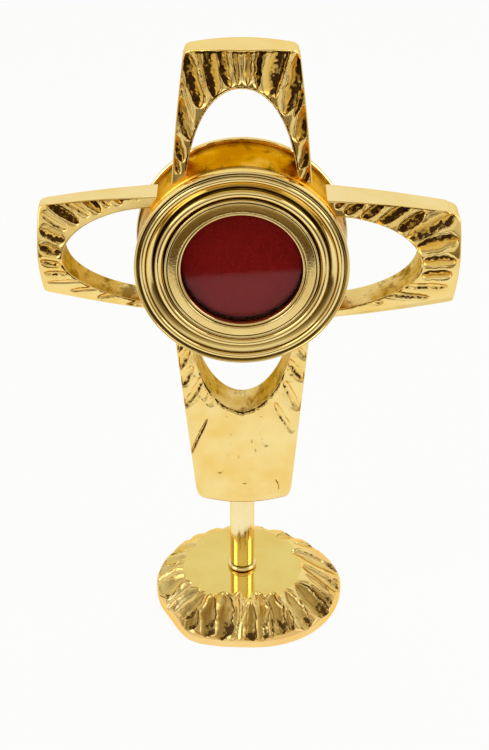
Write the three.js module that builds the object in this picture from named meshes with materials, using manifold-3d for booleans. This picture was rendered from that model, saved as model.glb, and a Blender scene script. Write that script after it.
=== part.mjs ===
// A cast brass cross reliquary on a small round foot, in millimetres.
// +Z is up, the glass looks towards -Y, and the origin is on the floor under the middle of its whole
// width and depth.
import * as THREE from 'three';
import { mergeVertices } from 'three/addons/utils/BufferGeometryUtils.js';
import Module from 'manifold-3d';

const wasm = await Module();
wasm.setup();

// Clearances
const GAP = 0.3; // left where two pieces meet
const THREAD_GAP = 0.3; // between a screw's core and its hole

// Facets round a full turn
const ROUND_LARGE = 48;
const ROUND_MEDIUM = 32;
const ROUND_SMALL = 16;

// Foot, an uneven casting whose radii are measured from the stem's axis
const BASE_HEIGHT = 9.1;
const BASE_BAND = 2.8; // upright edge below the rim's shoulder
const BASE_SHOULDER_FRONT = 4.4; // height at which the rim turns down to the band, in front and behind
const BASE_SHOULDER_BACK = 5.6;
const BASE_ROLL = 1.5; // above 1 the rim falls ever more steeply towards its shoulder
const BASE_LEAN = 1.3; // how far the shoulder lies inside the outline
const BASE_TOP_RADIUS = 20.6; // flat polished middle
const BASE_FOOT_CHAMFER = 0.4;
const BASE_WALL = 4.6; // width of the ring that the foot rests on
const BASE_WEB = 3.0; // thickness over the hollow underside
const BASE_HOLLOW_TOP_RADIUS = 17.5;
const BASE_SCOOPS_FROM = 14.6; // the rim's scoops bite this far into the flat middle
const BASE_STEPS = 120; // round the foot
const BASE_RIM_STEPS = 7; // from the flat middle to the shoulder

// Outline of the foot seen from above: degrees from the front, positive to the right, and a radius
const BASE_OUTLINE = [
  [0, 32.8], [20, 34.0], [42, 34.9], [68, 34.8], [92, 34.2], [115, 31.2], [145, 29.0], [180, 28.4],
  [215, 28.6], [240, 28.8], [268, 29.8], [290, 30.4], [308, 30.9], [322, 33.1], [330, 34.2], [345, 33.3],
];

// Half widths and depths of the scoops and gouges
const SCOOP_WIDE = 3.0;
const SCOOP_MEDIUM = 2.2;
const SCOOP_NARROW = 1.8;
const SCOOP_DEPTH = 1.6;
const SCOOP_RISE = 0.3; // part of a scoop's length over which it reaches its full depth
const SCOOP_FULLNESS = 0.6; // below 1 a scoop is rounder in the middle and steeper at its sides
const GOUGE_WIDE = 2.0;
const GOUGE_MEDIUM = 1.4;
const GOUGE_NARROW = 1.0;
const GOUGE_DEPTH = 1.4;
const GOUGE_SIDES = 8;
const GOUGE_STEPS = 6; // along a gouge

// Scoops round the foot's rim: half width, then where each starts and ends, as degrees from the front
// and a part of the outline's radius there
const BASE_SCOOP_PLACES = [
  [SCOOP_WIDE, -72, 0.67, -73, 0.99],
  [SCOOP_NARROW, -60.5, 0.66, -63, 0.97],
  [SCOOP_NARROW, -48, 0.64, -52, 0.96],
  [SCOOP_NARROW, -41.5, 0.61, -41, 0.92],
  [SCOOP_NARROW, -38, 0.86, -33.5, 1.04],
  [SCOOP_MEDIUM, -32.5, 0.56, -24, 1.04],
  [SCOOP_WIDE, -22, 0.48, -14, 1.04],
  [SCOOP_NARROW, -5, 0.45, -8, 1.04],
  [SCOOP_NARROW, 7.5, 0.66, 4, 1.04],
  [SCOOP_WIDE, 20, 0.47, 11, 1.04],
  [SCOOP_MEDIUM, 33, 0.52, 24.5, 1.04],
  [SCOOP_MEDIUM, 48, 0.58, 38, 0.94],
  [SCOOP_WIDE, 61, 0.59, 56, 0.98],
  [SCOOP_NARROW, 92, 0.6, 76, 0.96],
  [SCOOP_WIDE, 111, 0.58, 91, 0.99],
  [SCOOP_MEDIUM, 139, 0.67, 138, 1.04],
  [SCOOP_NARROW, 160, 0.8, 162, 1.04],
  [SCOOP_NARROW, 196, 0.78, 195, 1.04],
  [SCOOP_MEDIUM, 209, 0.7, 209, 1.04],
  [SCOOP_WIDE, 236, 0.68, 239, 1.0],
  [SCOOP_MEDIUM, 258, 0.67, 257, 1.0],
  [SCOOP_MEDIUM, 266.5, 0.68, 266, 1.0],
];

// Stem and the rod that ties foot, stem and cross together
const ROD_RADIUS = 3.0;
const ROD_IN_CROSS = 13.0;
const ROD_END_HEIGHT = 0.9;
const STEM_RADIUS = 4.15;
const COLLAR_RADIUS = 4.95;
const COLLAR_HEIGHT = 1.5;
const WASHER_RADIUS = 7.0;
const WASHER_THICKNESS = 1.4;
const NUT_FLATS = 10.0;
const NUT_THICKNESS = 3.0;

// Cross casting, measured from the axis of the round window
const WINDOW_HEIGHT = 132.0; // window axis above the floor
const PLATE_FRONT = -6.8;
const PLATE_BACK = 6.9;
const ARM_ROOT_INSIDE = 8.0; // how far inside the drum's wall the arms start
const CROWN_POWER = 2.4;
const ARM_CORNER = 1.6;
const TOP_REACH = 65.6;
const TOP_ROOT_HALF = 20.9; // half widths where the arm leaves the drum and at its tip
const TOP_TIP_HALF = 16.6;
const TOP_BOW = 1.8; // how far the tip's middle stands beyond its corners
const TOP_TIP_CROWN = -5.0; // Y of the front's middle at the tip
const TOP_ROOT_SHOULDER = -5.2; // Y of the front's sides at the root and at the tip
const TOP_TIP_SHOULDER = 0.2;
const LEFT_REACH = 62.2;
const LEFT_ROOT_HALF = 19.6;
const LEFT_TIP_HALF = 14.8;
const LEFT_BOW = 0.7;
const LEFT_TIP_CROWN = -4.4;
const LEFT_ROOT_SHOULDER = -3.2;
const LEFT_TIP_SHOULDER = 1.2;
const RIGHT_REACH = 66.5;
const RIGHT_ROOT_HALF = 20.2;
const RIGHT_TIP_HALF = 15.4;
const RIGHT_BOW = 0.6;
const RIGHT_TIP_CROWN = -5.2;
const RIGHT_ROOT_SHOULDER = -5.6;
const RIGHT_TIP_SHOULDER = -0.8;
const RIGHT_ROOT_SHIFT = -0.6; // the right arm droops a little
const RIGHT_TIP_SHIFT = -1.9;
const LOWER_REACH = 91.7;
const LOWER_ROOT_HALF = 21.4;
const LOWER_TIP_HALF = 15.6;
const LOWER_BOW = 1.5;
const LOWER_CORNER = 2.8;
const LOWER_TIP_CROWN = -6.0;
const LOWER_ROOT_SHOULDER = -5.4;
const LOWER_TIP_SHOULDER = -4.2;
const LOWER_TIP_SHIFT = 0.6;
const ARM_STATIONS = 7;
const ARM_CORNER_STEPS = 3;
const ARM_ACROSS = 12;
const OPENING_CENTRE = 20.0; // middle of each arch's ellipse
const OPENING_LENGTH = 34.5; // half axis along the arm
const OPENING_HALF_WIDTH = 16.6;
const OPENING_STEPS = 44;
const RIGHT_OPENING_SHIFT = -1.8;

// Drum behind the ring
const DRUM_RADIUS = 32.0;
const DRUM_FRONT = -8.4;
const DRUM_BACK = 9.0;
const DRUM_WALL = 4.5;
const WEB_THICKNESS = 2.5; // front wall of the drum

// Front ring
const RING_RADIUS = 32.3;
const RING_EDGE_DEPTH = 4.0;
const LIP_STANDS_PROUD = 1.2; // lip in front of the ring's outer edge
const LIP_ROUND = 0.7;
const WINDOW_RADIUS = 18.3;
const SPIGOT_WALL = 1.2;
const SPIGOT_LENGTH = 2.1; // behind the ring's back face

// Glass and its retainer
const GLASS_SET_BACK = 2.9; // behind the lip
const GLASS_THICKNESS = 2.0;
const GLASS_SEAT = 1.5; // how far the glass reaches behind the lip
const RETAINER_DEPTH = 1.8;
const RETAINER_WALL = 1.3;

// Screws that hold the ring from inside the drum
const RING_SCREWS = 3;
const RING_SCREW_RADIUS = 1.25;
const RING_SCREW_HEAD_RADIUS = 2.4;
const RING_SCREW_HEAD_DEPTH = 1.3;
const RING_SCREW_BITE = 2.0; // length held in the ring

// Capsule, cushion and clip
const CAPSULE_SLIDE_GAP = 0.9; // round the flange, so that the capsule drops out
const CAPSULE_SHEET = 0.9;
const CAPSULE_RADIUS = 20.9;
const CAPSULE_DEPTH = 7.4;
const CUSHION_BACK_GAP = 0.4;
const CUSHION_CROWN = 0.5;
const CLIP_THICKNESS = 1.0;
const CLIP_WIDTH = 2.8;
const CLIP_GROOVE_DEPTH = 1.1;
const CLIP_OPEN_ANGLE = 44; // degrees, at the bottom

// Back door
const DOOR_OVERHANG = 0.9; // past the drum's outside
const DOOR_THICKNESS = 2.2;
const DOOR_EDGE_ROUND = 0.7;
const DOOR_SPIGOT_GAP = 0.6; // round the step that centres the door
const DOOR_SPIGOT_DEPTH = 0.9;

// Hinge under the drum
const KNUCKLE_RADIUS = 2.2;
const PIN_RADIUS = 1.0;
const PIN_HEAD_RADIUS = 1.6;
const PIN_HEAD_LENGTH = 0.8;
const DOOR_KNUCKLE_LENGTH = 8.0;
const DRUM_KNUCKLE_LENGTH = 4.7;
const KNUCKLE_ARM = 4.2; // thickness of the arm that carries each drum knuckle

// Turn catch near the top of the door
const CATCH_INSIDE = 3.0; // shaft axis inside the drum's bore
const CATCH_LIP = 1.2; // wall left behind the slot that the tongue turns into
const SHAFT_RADIUS = 1.5;
const TONGUE_LENGTH = 5.2;
const TONGUE_WIDTH = 4.0;
const TONGUE_THICKNESS = 1.8;
const CATCH_SLOT_DEPTH = 2.9;
const CATCH_SLOT_HALF_WIDTH = 5.6;
const KNOB_COLLAR_RADIUS = 3.0;
const KNOB_COLLAR_DEPTH = 1.0;
const KNOB_LENGTH = 10.5;
const KNOB_WIDTH = 3.6;
const KNOB_DEPTH = 3.0;
const CATCH_SCREW_HEAD_RADIUS = 1.3;
const CATCH_SCREW_HEAD_DEPTH = 0.7;
const CATCH_SCREW_RADIUS = 0.6;
const CATCH_SCREW_LENGTH = 3.0;

// Places worked out from the sizes above
const armRoot = DRUM_RADIUS - ARM_ROOT_INSIDE;
const boreRadius = DRUM_RADIUS - DRUM_WALL;
const ringBack = DRUM_FRONT - GAP;
const ringFront = ringBack - RING_EDGE_DEPTH;
const lipFront = ringFront - LIP_STANDS_PROUD;
const glassFront = lipFront + GLASS_SET_BACK;
const glassBack = glassFront + GLASS_THICKNESS;
const glassRadius = WINDOW_RADIUS + GLASS_SEAT;
const rebateRadius = glassRadius + GAP;
const retainerFront = glassBack + GAP;
const retainerBack = retainerFront + RETAINER_DEPTH;
const spigotRadius = rebateRadius + SPIGOT_WALL;
const spigotBack = ringBack + SPIGOT_LENGTH;
const webHoleRadius = spigotRadius + GAP;
const ringScrewCircle = (webHoleRadius + boreRadius) / 2;
const webBack = DRUM_FRONT + WEB_THICKNESS;
const flangeFront = webBack + GAP;
const capsuleBack = flangeFront + CAPSULE_DEPTH;
const flangeRadius = boreRadius - CAPSULE_SLIDE_GAP;
const clipFront = flangeFront + CAPSULE_SHEET + GAP;
const doorFront = DRUM_BACK + GAP;
const doorBack = doorFront + DOOR_THICKNESS;
const doorSpigotRadius = boreRadius - DOOR_SPIGOT_GAP;
const doorRadius = DRUM_RADIUS + DOOR_OVERHANG;
const hingeY = (DRUM_BACK + doorFront) / 2;
const hingeDrop = doorRadius + KNUCKLE_RADIUS + GAP;
const catchRadius = boreRadius - CATCH_INSIDE;
const tongueBack = DRUM_BACK - CATCH_LIP - GAP;
const tongueFront = tongueBack - TONGUE_THICKNESS;
const baseWebUnder = BASE_HEIGHT - BASE_WEB;
const crossFoot = WINDOW_HEIGHT - LOWER_REACH;
const screwHole = RING_SCREW_RADIUS + THREAD_GAP;

// The main gouges in each arm's front: half width, then where each starts and ends, as degrees from the
// arm's middle and a part of its reach
const TOP_GOUGES = [
  [GOUGE_MEDIUM, 14.2, 0.75, 13.7, 0.99],
  [GOUGE_WIDE, 8.4, 0.79, 7.8, 1.03],
  [GOUGE_MEDIUM, 2.6, 0.84, 4.6, 1.03],
  [GOUGE_NARROW, -2.2, 0.85, -2.2, 1.02],
  [GOUGE_NARROW, -4.6, 0.84, -4.4, 1.03],
  [GOUGE_WIDE, -7.6, 0.79, -8.2, 1.03],
  [GOUGE_MEDIUM, -15.4, 0.71, -16, 0.97],
  [GOUGE_MEDIUM, -23.8, 0.63, -22.6, 0.77],
  [GOUGE_NARROW, -31, 0.53, -28.8, 0.65],
  [GOUGE_NARROW, 21.2, 0.62, 20.4, 0.8],
];
const LEFT_GOUGES = [
  [GOUGE_MEDIUM, -12.8, 0.81, -14.8, 0.97],
  [GOUGE_MEDIUM, -18.8, 0.73, -20, 0.89],
  [GOUGE_NARROW, -25, 0.64, -26.6, 0.75],
  [GOUGE_MEDIUM, -7, 0.86, -8, 0.99],
  [GOUGE_MEDIUM, -2.6, 0.87, -3.2, 0.99],
  [GOUGE_NARROW, 1.6, 0.88, 1.6, 0.98],
  [GOUGE_NARROW, 19.4, 0.61, 19.8, 0.75],
];
const RIGHT_GOUGES = [
  [GOUGE_MEDIUM, 26, 0.53, 27.6, 0.62],
  [GOUGE_MEDIUM, 20.6, 0.57, 23, 0.69],
  [GOUGE_MEDIUM, 16.4, 0.63, 18.6, 0.79],
  [GOUGE_MEDIUM, 11.4, 0.71, 15, 0.83],
  [GOUGE_WIDE, 9, 0.77, 12.4, 0.98],
  [GOUGE_WIDE, 4.4, 0.79, 6.2, 0.99],
  [GOUGE_MEDIUM, -0.9, 0.83, -0.4, 0.98],
  [GOUGE_MEDIUM, -5.8, 0.83, -4.8, 0.97],
];
const LOWER_GOUGES = [
  [GOUGE_NARROW, -27.5, 0.4, -27.5, 0.48],
  [GOUGE_NARROW, -22.4, 0.45, -22.8, 0.53],
  [GOUGE_NARROW, -17, 0.49, -18.8, 0.62],
  [GOUGE_NARROW, -11, 0.64, -12.8, 0.81],
  [GOUGE_NARROW, 17.2, 0.52, 18.6, 0.63],
];

// The four arms, by their angle from +X
const ARMS = [
  {
    angle: 90, reach: TOP_REACH, rootHalf: TOP_ROOT_HALF, tipHalf: TOP_TIP_HALF, bow: TOP_BOW,
    corner: ARM_CORNER, rootShift: 0, tipShift: 0, tipCrown: TOP_TIP_CROWN,
    rootShoulder: TOP_ROOT_SHOULDER, tipShoulder: TOP_TIP_SHOULDER, openingShift: 0, gouges: TOP_GOUGES,
  },
  {
    angle: 180, reach: LEFT_REACH, rootHalf: LEFT_ROOT_HALF, tipHalf: LEFT_TIP_HALF, bow: LEFT_BOW,
    corner: ARM_CORNER, rootShift: 0, tipShift: 0, tipCrown: LEFT_TIP_CROWN,
    rootShoulder: LEFT_ROOT_SHOULDER, tipShoulder: LEFT_TIP_SHOULDER, openingShift: 0, gouges: LEFT_GOUGES,
  },
  {
    angle: 0, reach: RIGHT_REACH, rootHalf: RIGHT_ROOT_HALF, tipHalf: RIGHT_TIP_HALF, bow: RIGHT_BOW,
    corner: ARM_CORNER, rootShift: RIGHT_ROOT_SHIFT, tipShift: RIGHT_TIP_SHIFT, tipCrown: RIGHT_TIP_CROWN,
    rootShoulder: RIGHT_ROOT_SHOULDER, tipShoulder: RIGHT_TIP_SHOULDER,
    openingShift: RIGHT_OPENING_SHIFT, gouges: RIGHT_GOUGES,
  },
  {
    angle: 270, reach: LOWER_REACH, rootHalf: LOWER_ROOT_HALF, tipHalf: LOWER_TIP_HALF, bow: LOWER_BOW,
    corner: LOWER_CORNER, rootShift: 0, tipShift: LOWER_TIP_SHIFT, tipCrown: LOWER_TIP_CROWN,
    rootShoulder: LOWER_ROOT_SHOULDER, tipShoulder: LOWER_TIP_SHOULDER, openingShift: 0,
    gouges: LOWER_GOUGES,
  },
];

// Finishes
const gilt = () => new THREE.MeshStandardMaterial({ color: 0xd9b45c, roughness: 0.22, metalness: 1 });
const giltMatt = () => new THREE.MeshStandardMaterial({ color: 0xc98f35, roughness: 0.45, metalness: 1 });
const steel = () => new THREE.MeshStandardMaterial({ color: 0xb9bbbd, roughness: 0.35, metalness: 1 });
const glassClear = () =>
  new THREE.MeshStandardMaterial({
    color: 0xeef2f0, roughness: 0.03, metalness: 0, transparent: true, opacity: 0.25,
  });
const velvet = () => new THREE.MeshStandardMaterial({ color: 0x6b1016, roughness: 0.95, metalness: 0 });

// Geometry helpers

// Merges shared corners, drops empty triangles and turns the faces outwards
function closed(geometry) {
  const bare = geometry.clone();
  bare.deleteAttribute('normal');
  bare.deleteAttribute('uv');
  const merged = mergeVertices(bare, 1e-4);
  const place = merged.getAttribute('position');
  const source = merged.getIndex().array;
  const kept = [];
  const a = new THREE.Vector3();
  const b = new THREE.Vector3();
  const c = new THREE.Vector3();
  let volume = 0;
  for (let i = 0; i < source.length; i += 3) {
    const [p, q, r] = [source[i], source[i + 1], source[i + 2]];
    if (p === q || q === r || r === p) continue;
    kept.push(p, q, r);
    a.fromBufferAttribute(place, p);
    b.fromBufferAttribute(place, q);
    c.fromBufferAttribute(place, r);
    volume += a.dot(b.cross(c));
  }
  if (volume < 0) kept.reverse();
  const result = new THREE.BufferGeometry();
  result.setAttribute('position', place);
  result.setIndex(kept);
  return result;
}

function toSolid(geometry) {
  const clean = closed(geometry);
  const vertProperties = new Float32Array(clean.getAttribute('position').array);
  const triVerts = new Uint32Array(clean.getIndex().array);
  return new wasm.Manifold(new wasm.Mesh({ numProp: 3, vertProperties, triVerts }));
}

function fromSolid(solid) {
  const mesh = solid.getMesh();
  const geometry = new THREE.BufferGeometry();
  geometry.setAttribute('position', new THREE.BufferAttribute(new Float32Array(mesh.vertProperties), 3));
  geometry.setIndex(new THREE.BufferAttribute(new Uint32Array(mesh.triVerts), 1));
  return geometry;
}

const join = (...parts) => fromSolid(parts.map(toSolid).reduce((sum, part) => sum.add(part)));
const cut = (body, ...tools) =>
  fromSolid(tools.map(toSolid).reduce((rest, tool) => rest.subtract(tool), toSolid(body)));

// A turned piece round the Y axis, from pairs of radius and Y
function turnedY(points, facets) {
  return closed(new THREE.LatheGeometry(points.map(([r, y]) => new THREE.Vector2(r, y)), facets));
}

// A turned piece round the Z axis, from pairs of radius and Z
const turnedZ = (points, facets) => turnedY(points, facets).rotateX(Math.PI / 2);

const discY = (radius, from, to, facets) =>
  turnedY([[0, from], [radius, from], [radius, to], [0, to]], facets);
const discZ = (radius, from, to, facets) =>
  turnedZ([[0, from], [radius, from], [radius, to], [0, to]], facets);
const discX = (radius, from, to, facets) => discY(radius, -to, -from, facets).rotateZ(Math.PI / 2);
const ringY = (outer, inner, from, to, facets) =>
  turnedY([[inner, from], [outer, from], [outer, to], [inner, to], [inner, from]], facets);

// An outline drawn in X and Z, carried from one Y to another
function prismY(shape, from, to, curveSegments = 12) {
  const options = { depth: to - from, bevelEnabled: false, curveSegments };
  const geometry = new THREE.ExtrudeGeometry(shape, options);
  return closed(geometry.rotateX(Math.PI / 2).translate(0, to, 0));
}

function boxBetween(low, high) {
  const size = high.map((value, i) => value - low[i]);
  const middle = high.map((value, i) => (value + low[i]) / 2);
  return new THREE.BoxGeometry(...size).translate(...middle);
}

// A bar with round ends, from one end's centre to the other's, along X
function barShape(fromX, toX, width) {
  const shape = new THREE.Shape();
  shape.moveTo(fromX, -width / 2);
  shape.lineTo(toX, -width / 2);
  shape.absarc(toX, 0, width / 2, -Math.PI / 2, Math.PI / 2, false);
  shape.lineTo(fromX, width / 2);
  shape.absarc(fromX, 0, width / 2, Math.PI / 2, (3 * Math.PI) / 2, false);
  return shape;
}

const mix = (from, to, part) => from + (to - from) * part;

// Foot, stem and tie rod

// Radius of the foot's outline at an angle from the front, as a smooth curve through the listed points
function baseRadius(angle) {
  const count = BASE_OUTLINE.length;
  const turn = THREE.MathUtils.euclideanModulo(angle, 360);
  const at = (i) => {
    const [degrees, radius] = BASE_OUTLINE[THREE.MathUtils.euclideanModulo(i, count)];
    return [degrees + 360 * Math.floor(i / count), radius];
  };
  let i = count - 1;
  while (at(i)[0] > turn) i -= 1;
  const [[a0, r0], [a1, r1], [a2, r2], [a3, r3]] = [i - 1, i, i + 1, i + 2].map(at);
  const t = (turn - a1) / (a2 - a1);
  const slope1 = ((r2 - r0) / (a2 - a0)) * (a2 - a1);
  const slope2 = ((r3 - r1) / (a3 - a1)) * (a2 - a1);
  const blend = t * t * (3 - 2 * t);
  return r1 * (1 - blend) + r2 * blend + slope1 * t * (1 - t) ** 2 - slope2 * t * t * (1 - t);
}

// Depth of the scoops below the sloping rim
function scoopDepth(angle, radius) {
  const edge = baseRadius(angle);
  const depths = BASE_SCOOP_PLACES.map(([half, fromAngle, from, toAngle, to]) => {
    const run = (radius / edge - from) / (to - from);
    const aside = THREE.MathUtils.euclideanModulo(angle - mix(fromAngle, toAngle, run) + 180, 360) - 180;
    if (run <= 0 || run >= 1 || Math.abs(aside) > 45) return 0;
    const rise = Math.min(run / SCOOP_RISE, 1) ** SCOOP_FULLNESS;
    const share = (radius * Math.sin(THREE.MathUtils.degToRad(aside))) / (half * rise);
    return Math.abs(share) < 1 ? SCOOP_DEPTH * rise * (1 - share * share) ** SCOOP_FULLNESS : 0;
  });
  return Math.max(...depths);
}

// Height of the foot's top: flat, then rolling over to a shoulder, then turning down to the band
function baseHeight(angle, radius) {
  const edge = baseRadius(angle);
  const shoulder = edge - BASE_LEAN;
  const backwards = (1 - Math.cos(THREE.MathUtils.degToRad(angle))) / 2;
  const drop = BASE_HEIGHT - mix(BASE_SHOULDER_FRONT, BASE_SHOULDER_BACK, backwards);
  const rimPart = (r) => Math.max(r - BASE_TOP_RADIUS, 0) / (shoulder - BASE_TOP_RADIUS);
  const slopeAt = (r) => BASE_HEIGHT - drop * rimPart(r) ** BASE_ROLL;
  const past = Math.max(radius - shoulder, 0) / BASE_LEAN;
  const whole = slopeAt(radius) - (slopeAt(edge) - BASE_BAND) * past * past;
  return Math.min(whole, slopeAt(radius) - scoopDepth(angle, radius));
}

// The foot as a closed section carried round the stem's axis
function makeBase() {
  const places = [];
  const bore = ROD_RADIUS + GAP;
  let columns = 0;
  for (let i = 0; i < BASE_STEPS; i += 1) {
    const angle = (360 * i) / BASE_STEPS;
    const edge = baseRadius(angle);
    const shoulder = edge - BASE_LEAN;
    const section = [[bore, BASE_HEIGHT]];
    for (let k = 0; k <= BASE_RIM_STEPS; k += 1) {
      const radius = mix(BASE_SCOOPS_FROM, shoulder, k / BASE_RIM_STEPS);
      section.push([radius, baseHeight(angle, radius)]);
    }
    for (const radius of [edge - BASE_LEAN / 2, edge]) section.push([radius, baseHeight(angle, radius)]);
    section.push(
      [edge, BASE_FOOT_CHAMFER],
      [edge - BASE_FOOT_CHAMFER, 0],
      [edge - BASE_FOOT_CHAMFER - BASE_WALL, 0],
      [BASE_HOLLOW_TOP_RADIUS, baseWebUnder],
      [bore, baseWebUnder],
    );
    columns = section.length;
    const turn = THREE.MathUtils.degToRad(angle);
    for (const [radius, z] of section) places.push(radius * Math.sin(turn), -radius * Math.cos(turn), z);
  }
  const faces = [];
  for (let i = 0; i < BASE_STEPS; i += 1) {
    const next = (i + 1) % BASE_STEPS;
    for (let k = 0; k < columns; k += 1) {
      const [a, b] = [i * columns + k, i * columns + ((k + 1) % columns)];
      const [c, d] = [next * columns + ((k + 1) % columns), next * columns + k];
      faces.push(a, b, c, a, c, d);
    }
  }
  const geometry = new THREE.BufferGeometry();
  geometry.setAttribute('position', new THREE.Float32BufferAttribute(places, 3));
  geometry.setIndex(faces);
  return closed(geometry);
}

const collarFoot = BASE_HEIGHT + GAP;
const stemFoot = collarFoot + COLLAR_HEIGHT + GAP;
const washerTop = baseWebUnder - GAP;
const nutTop = washerTop - WASHER_THICKNESS - GAP;

function tubeZ(profile) {
  const [first] = profile;
  return turnedZ([...profile, first], ROUND_MEDIUM);
}

function makeCollar() {
  const bore = ROD_RADIUS + GAP;
  const middle = collarFoot + COLLAR_HEIGHT / 2;
  return tubeZ([
    [bore, collarFoot],
    [COLLAR_RADIUS - COLLAR_HEIGHT / 3, collarFoot],
    [COLLAR_RADIUS, middle - COLLAR_HEIGHT / 6],
    [COLLAR_RADIUS, middle + COLLAR_HEIGHT / 6],
    [COLLAR_RADIUS - COLLAR_HEIGHT / 3, collarFoot + COLLAR_HEIGHT],
    [bore, collarFoot + COLLAR_HEIGHT],
  ]);
}

function makeStem() {
  const top = crossFoot - GAP;
  const bore = ROD_RADIUS + GAP;
  return tubeZ([[bore, stemFoot], [STEM_RADIUS, stemFoot], [STEM_RADIUS, top], [bore, top]]);
}

const makeRod = () => discZ(ROD_RADIUS, ROD_END_HEIGHT, crossFoot + ROD_IN_CROSS, ROUND_MEDIUM);

function makeWasher() {
  const low = washerTop - WASHER_THICKNESS;
  const bore = ROD_RADIUS + GAP;
  return tubeZ([[bore, low], [WASHER_RADIUS, low], [WASHER_RADIUS, washerTop], [bore, washerTop]]);
}

function makeNut() {
  const corner = NUT_FLATS / Math.sqrt(3);
  const low = nutTop - NUT_THICKNESS;
  const hexagon = discZ(corner, low, nutTop, 6);
  return cut(hexagon, discZ(ROD_RADIUS + THREAD_GAP, low - 1, nutTop + 1, ROUND_MEDIUM));
}

// Cross casting

// Places a point that is given along and across an arm
function armPoint(arm, along, across, y) {
  const turn = THREE.MathUtils.degToRad(arm.angle);
  const part = (along - armRoot) / (arm.reach - armRoot);
  const shift = mix(arm.rootShift, arm.tipShift, part);
  // A shift is upwards on the side arms and to the right on the upright ones
  const x = along * Math.cos(turn) - across * Math.sin(turn);
  const z = along * Math.sin(turn) + across * Math.cos(turn);
  const upright = Math.abs(Math.sin(turn)) > 0.5;
  return [upright ? x + shift : x, y, upright ? z : z + shift];
}

// Half widths along an arm: an even taper, then the rounded corner
function armStations(arm) {
  const end = arm.reach - arm.bow;
  const straightEnd = end - arm.corner;
  const stations = [];
  for (let i = 0; i <= ARM_STATIONS; i += 1) {
    const along = mix(armRoot, straightEnd, i / ARM_STATIONS);
    stations.push({ along, trim: 0 });
  }
  for (let i = 1; i <= ARM_CORNER_STEPS; i += 1) {
    const turn = (Math.PI / 2) * (i / ARM_CORNER_STEPS);
    const along = straightEnd + arm.corner * Math.sin(turn);
    stations.push({ along, trim: arm.corner * (1 - Math.cos(turn)) });
  }
  return stations.map(({ along, trim }) => {
    const part = (along - armRoot) / (end - armRoot);
    const side = mix(arm.rootHalf, arm.tipHalf, part);
    return { along, part, side, half: side - trim };
  });
}

function frontOf(arm, part, share) {
  const crown = mix(PLATE_FRONT, arm.tipCrown, part ** 3);
  const shoulder = mix(arm.rootShoulder, arm.tipShoulder, part);
  return mix(crown, shoulder, Math.abs(share) ** CROWN_POWER);
}

// One arm as a slab with a pillowed front, a flat back and a bowed tip
function makeArm(arm) {
  const stations = armStations(arm);
  const rows = stations.length;
  const columns = ARM_ACROSS + 1;
  const places = [];
  for (const isBack of [false, true]) {
    for (const { along, part, side, half } of stations) {
      for (let j = 0; j < columns; j += 1) {
        const across = half * ((2 * j) / ARM_ACROSS - 1);
        const share = across / side;
        const bowed = along + arm.bow * part ** 4 * (1 - share * share);
        const y = isBack ? PLATE_BACK : frontOf(arm, part, share);
        places.push(...armPoint(arm, bowed, across, y));
      }
    }
  }
  const front = (i, j) => i * columns + j;
  const back = (i, j) => rows * columns + i * columns + j;
  const faces = [];
  const quad = (a, b, c, d) => faces.push(a, b, c, a, c, d);
  for (let i = 0; i + 1 < rows; i += 1) {
    for (let j = 0; j + 1 < columns; j += 1) {
      quad(front(i, j), front(i, j + 1), front(i + 1, j + 1), front(i + 1, j));
      quad(back(i, j), back(i + 1, j), back(i + 1, j + 1), back(i, j + 1));
    }
    quad(front(i, 0), front(i + 1, 0), back(i + 1, 0), back(i, 0));
    quad(front(i, columns - 1), back(i, columns - 1), back(i + 1, columns - 1), front(i + 1, columns - 1));
  }
  for (let j = 0; j + 1 < columns; j += 1) {
    quad(front(0, j), back(0, j), back(0, j + 1), front(0, j + 1));
    quad(front(rows - 1, j), front(rows - 1, j + 1), back(rows - 1, j + 1), back(rows - 1, j));
  }
  const geometry = new THREE.BufferGeometry();
  geometry.setAttribute('position', new THREE.Float32BufferAttribute(places, 3));
  geometry.setIndex(faces);
  return geometry;
}

// A gouge as a stretched ball whose middle plane lies in the arm's front
function makeGouge(arm, [half, fromAngle, from, toAngle, to]) {
  const armTurn = THREE.MathUtils.degToRad(arm.angle);
  const end = arm.reach - arm.bow;
  const [start, finish] = [[fromAngle, from], [toAngle, to]].map(([angle, part]) => {
    const turn = THREE.MathUtils.degToRad(angle);
    const along = part * arm.reach * Math.cos(turn);
    const across = part * arm.reach * Math.sin(turn);
    const armPart = (along - armRoot) / (end - armRoot);
    const share = Math.min(Math.abs(across) / mix(arm.rootHalf, arm.tipHalf, armPart), 1);
    const x = along * Math.cos(armTurn) - across * Math.sin(armTurn);
    const z = along * Math.sin(armTurn) + across * Math.cos(armTurn);
    return new THREE.Vector3(x, frontOf(arm, Math.min(armPart, 1), share), z);
  });
  const run = finish.clone().sub(start);
  const lengthwise = run.clone().normalize();
  const inwards = new THREE.Vector3(0, 1, 0).addScaledVector(lengthwise, -lengthwise.y).normalize();
  const sideways = lengthwise.clone().cross(inwards);
  const place = new THREE.Matrix4().makeBasis(sideways, lengthwise, inwards);
  place.setPosition(start.add(finish).multiplyScalar(0.5));
  const depth = GOUGE_DEPTH * Math.min(half / GOUGE_MEDIUM, 1);
  const ball = new THREE.SphereGeometry(1, GOUGE_SIDES, GOUGE_STEPS);
  return ball.scale(half, run.length() / 2, depth).applyMatrix4(place);
}

// The arch-shaped hole through an arm
function makeOpening(arm) {
  const shape = new THREE.Shape();
  shape.absellipse(OPENING_CENTRE, 0, OPENING_LENGTH, OPENING_HALF_WIDTH, 0, 2 * Math.PI, false);
  const turn = THREE.MathUtils.degToRad(arm.angle);
  const hole = prismY(shape, PLATE_FRONT - 1, PLATE_BACK + 1, OPENING_STEPS).rotateY(-turn);
  return hole.translate(0, 0, arm.openingShift);
}

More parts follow.
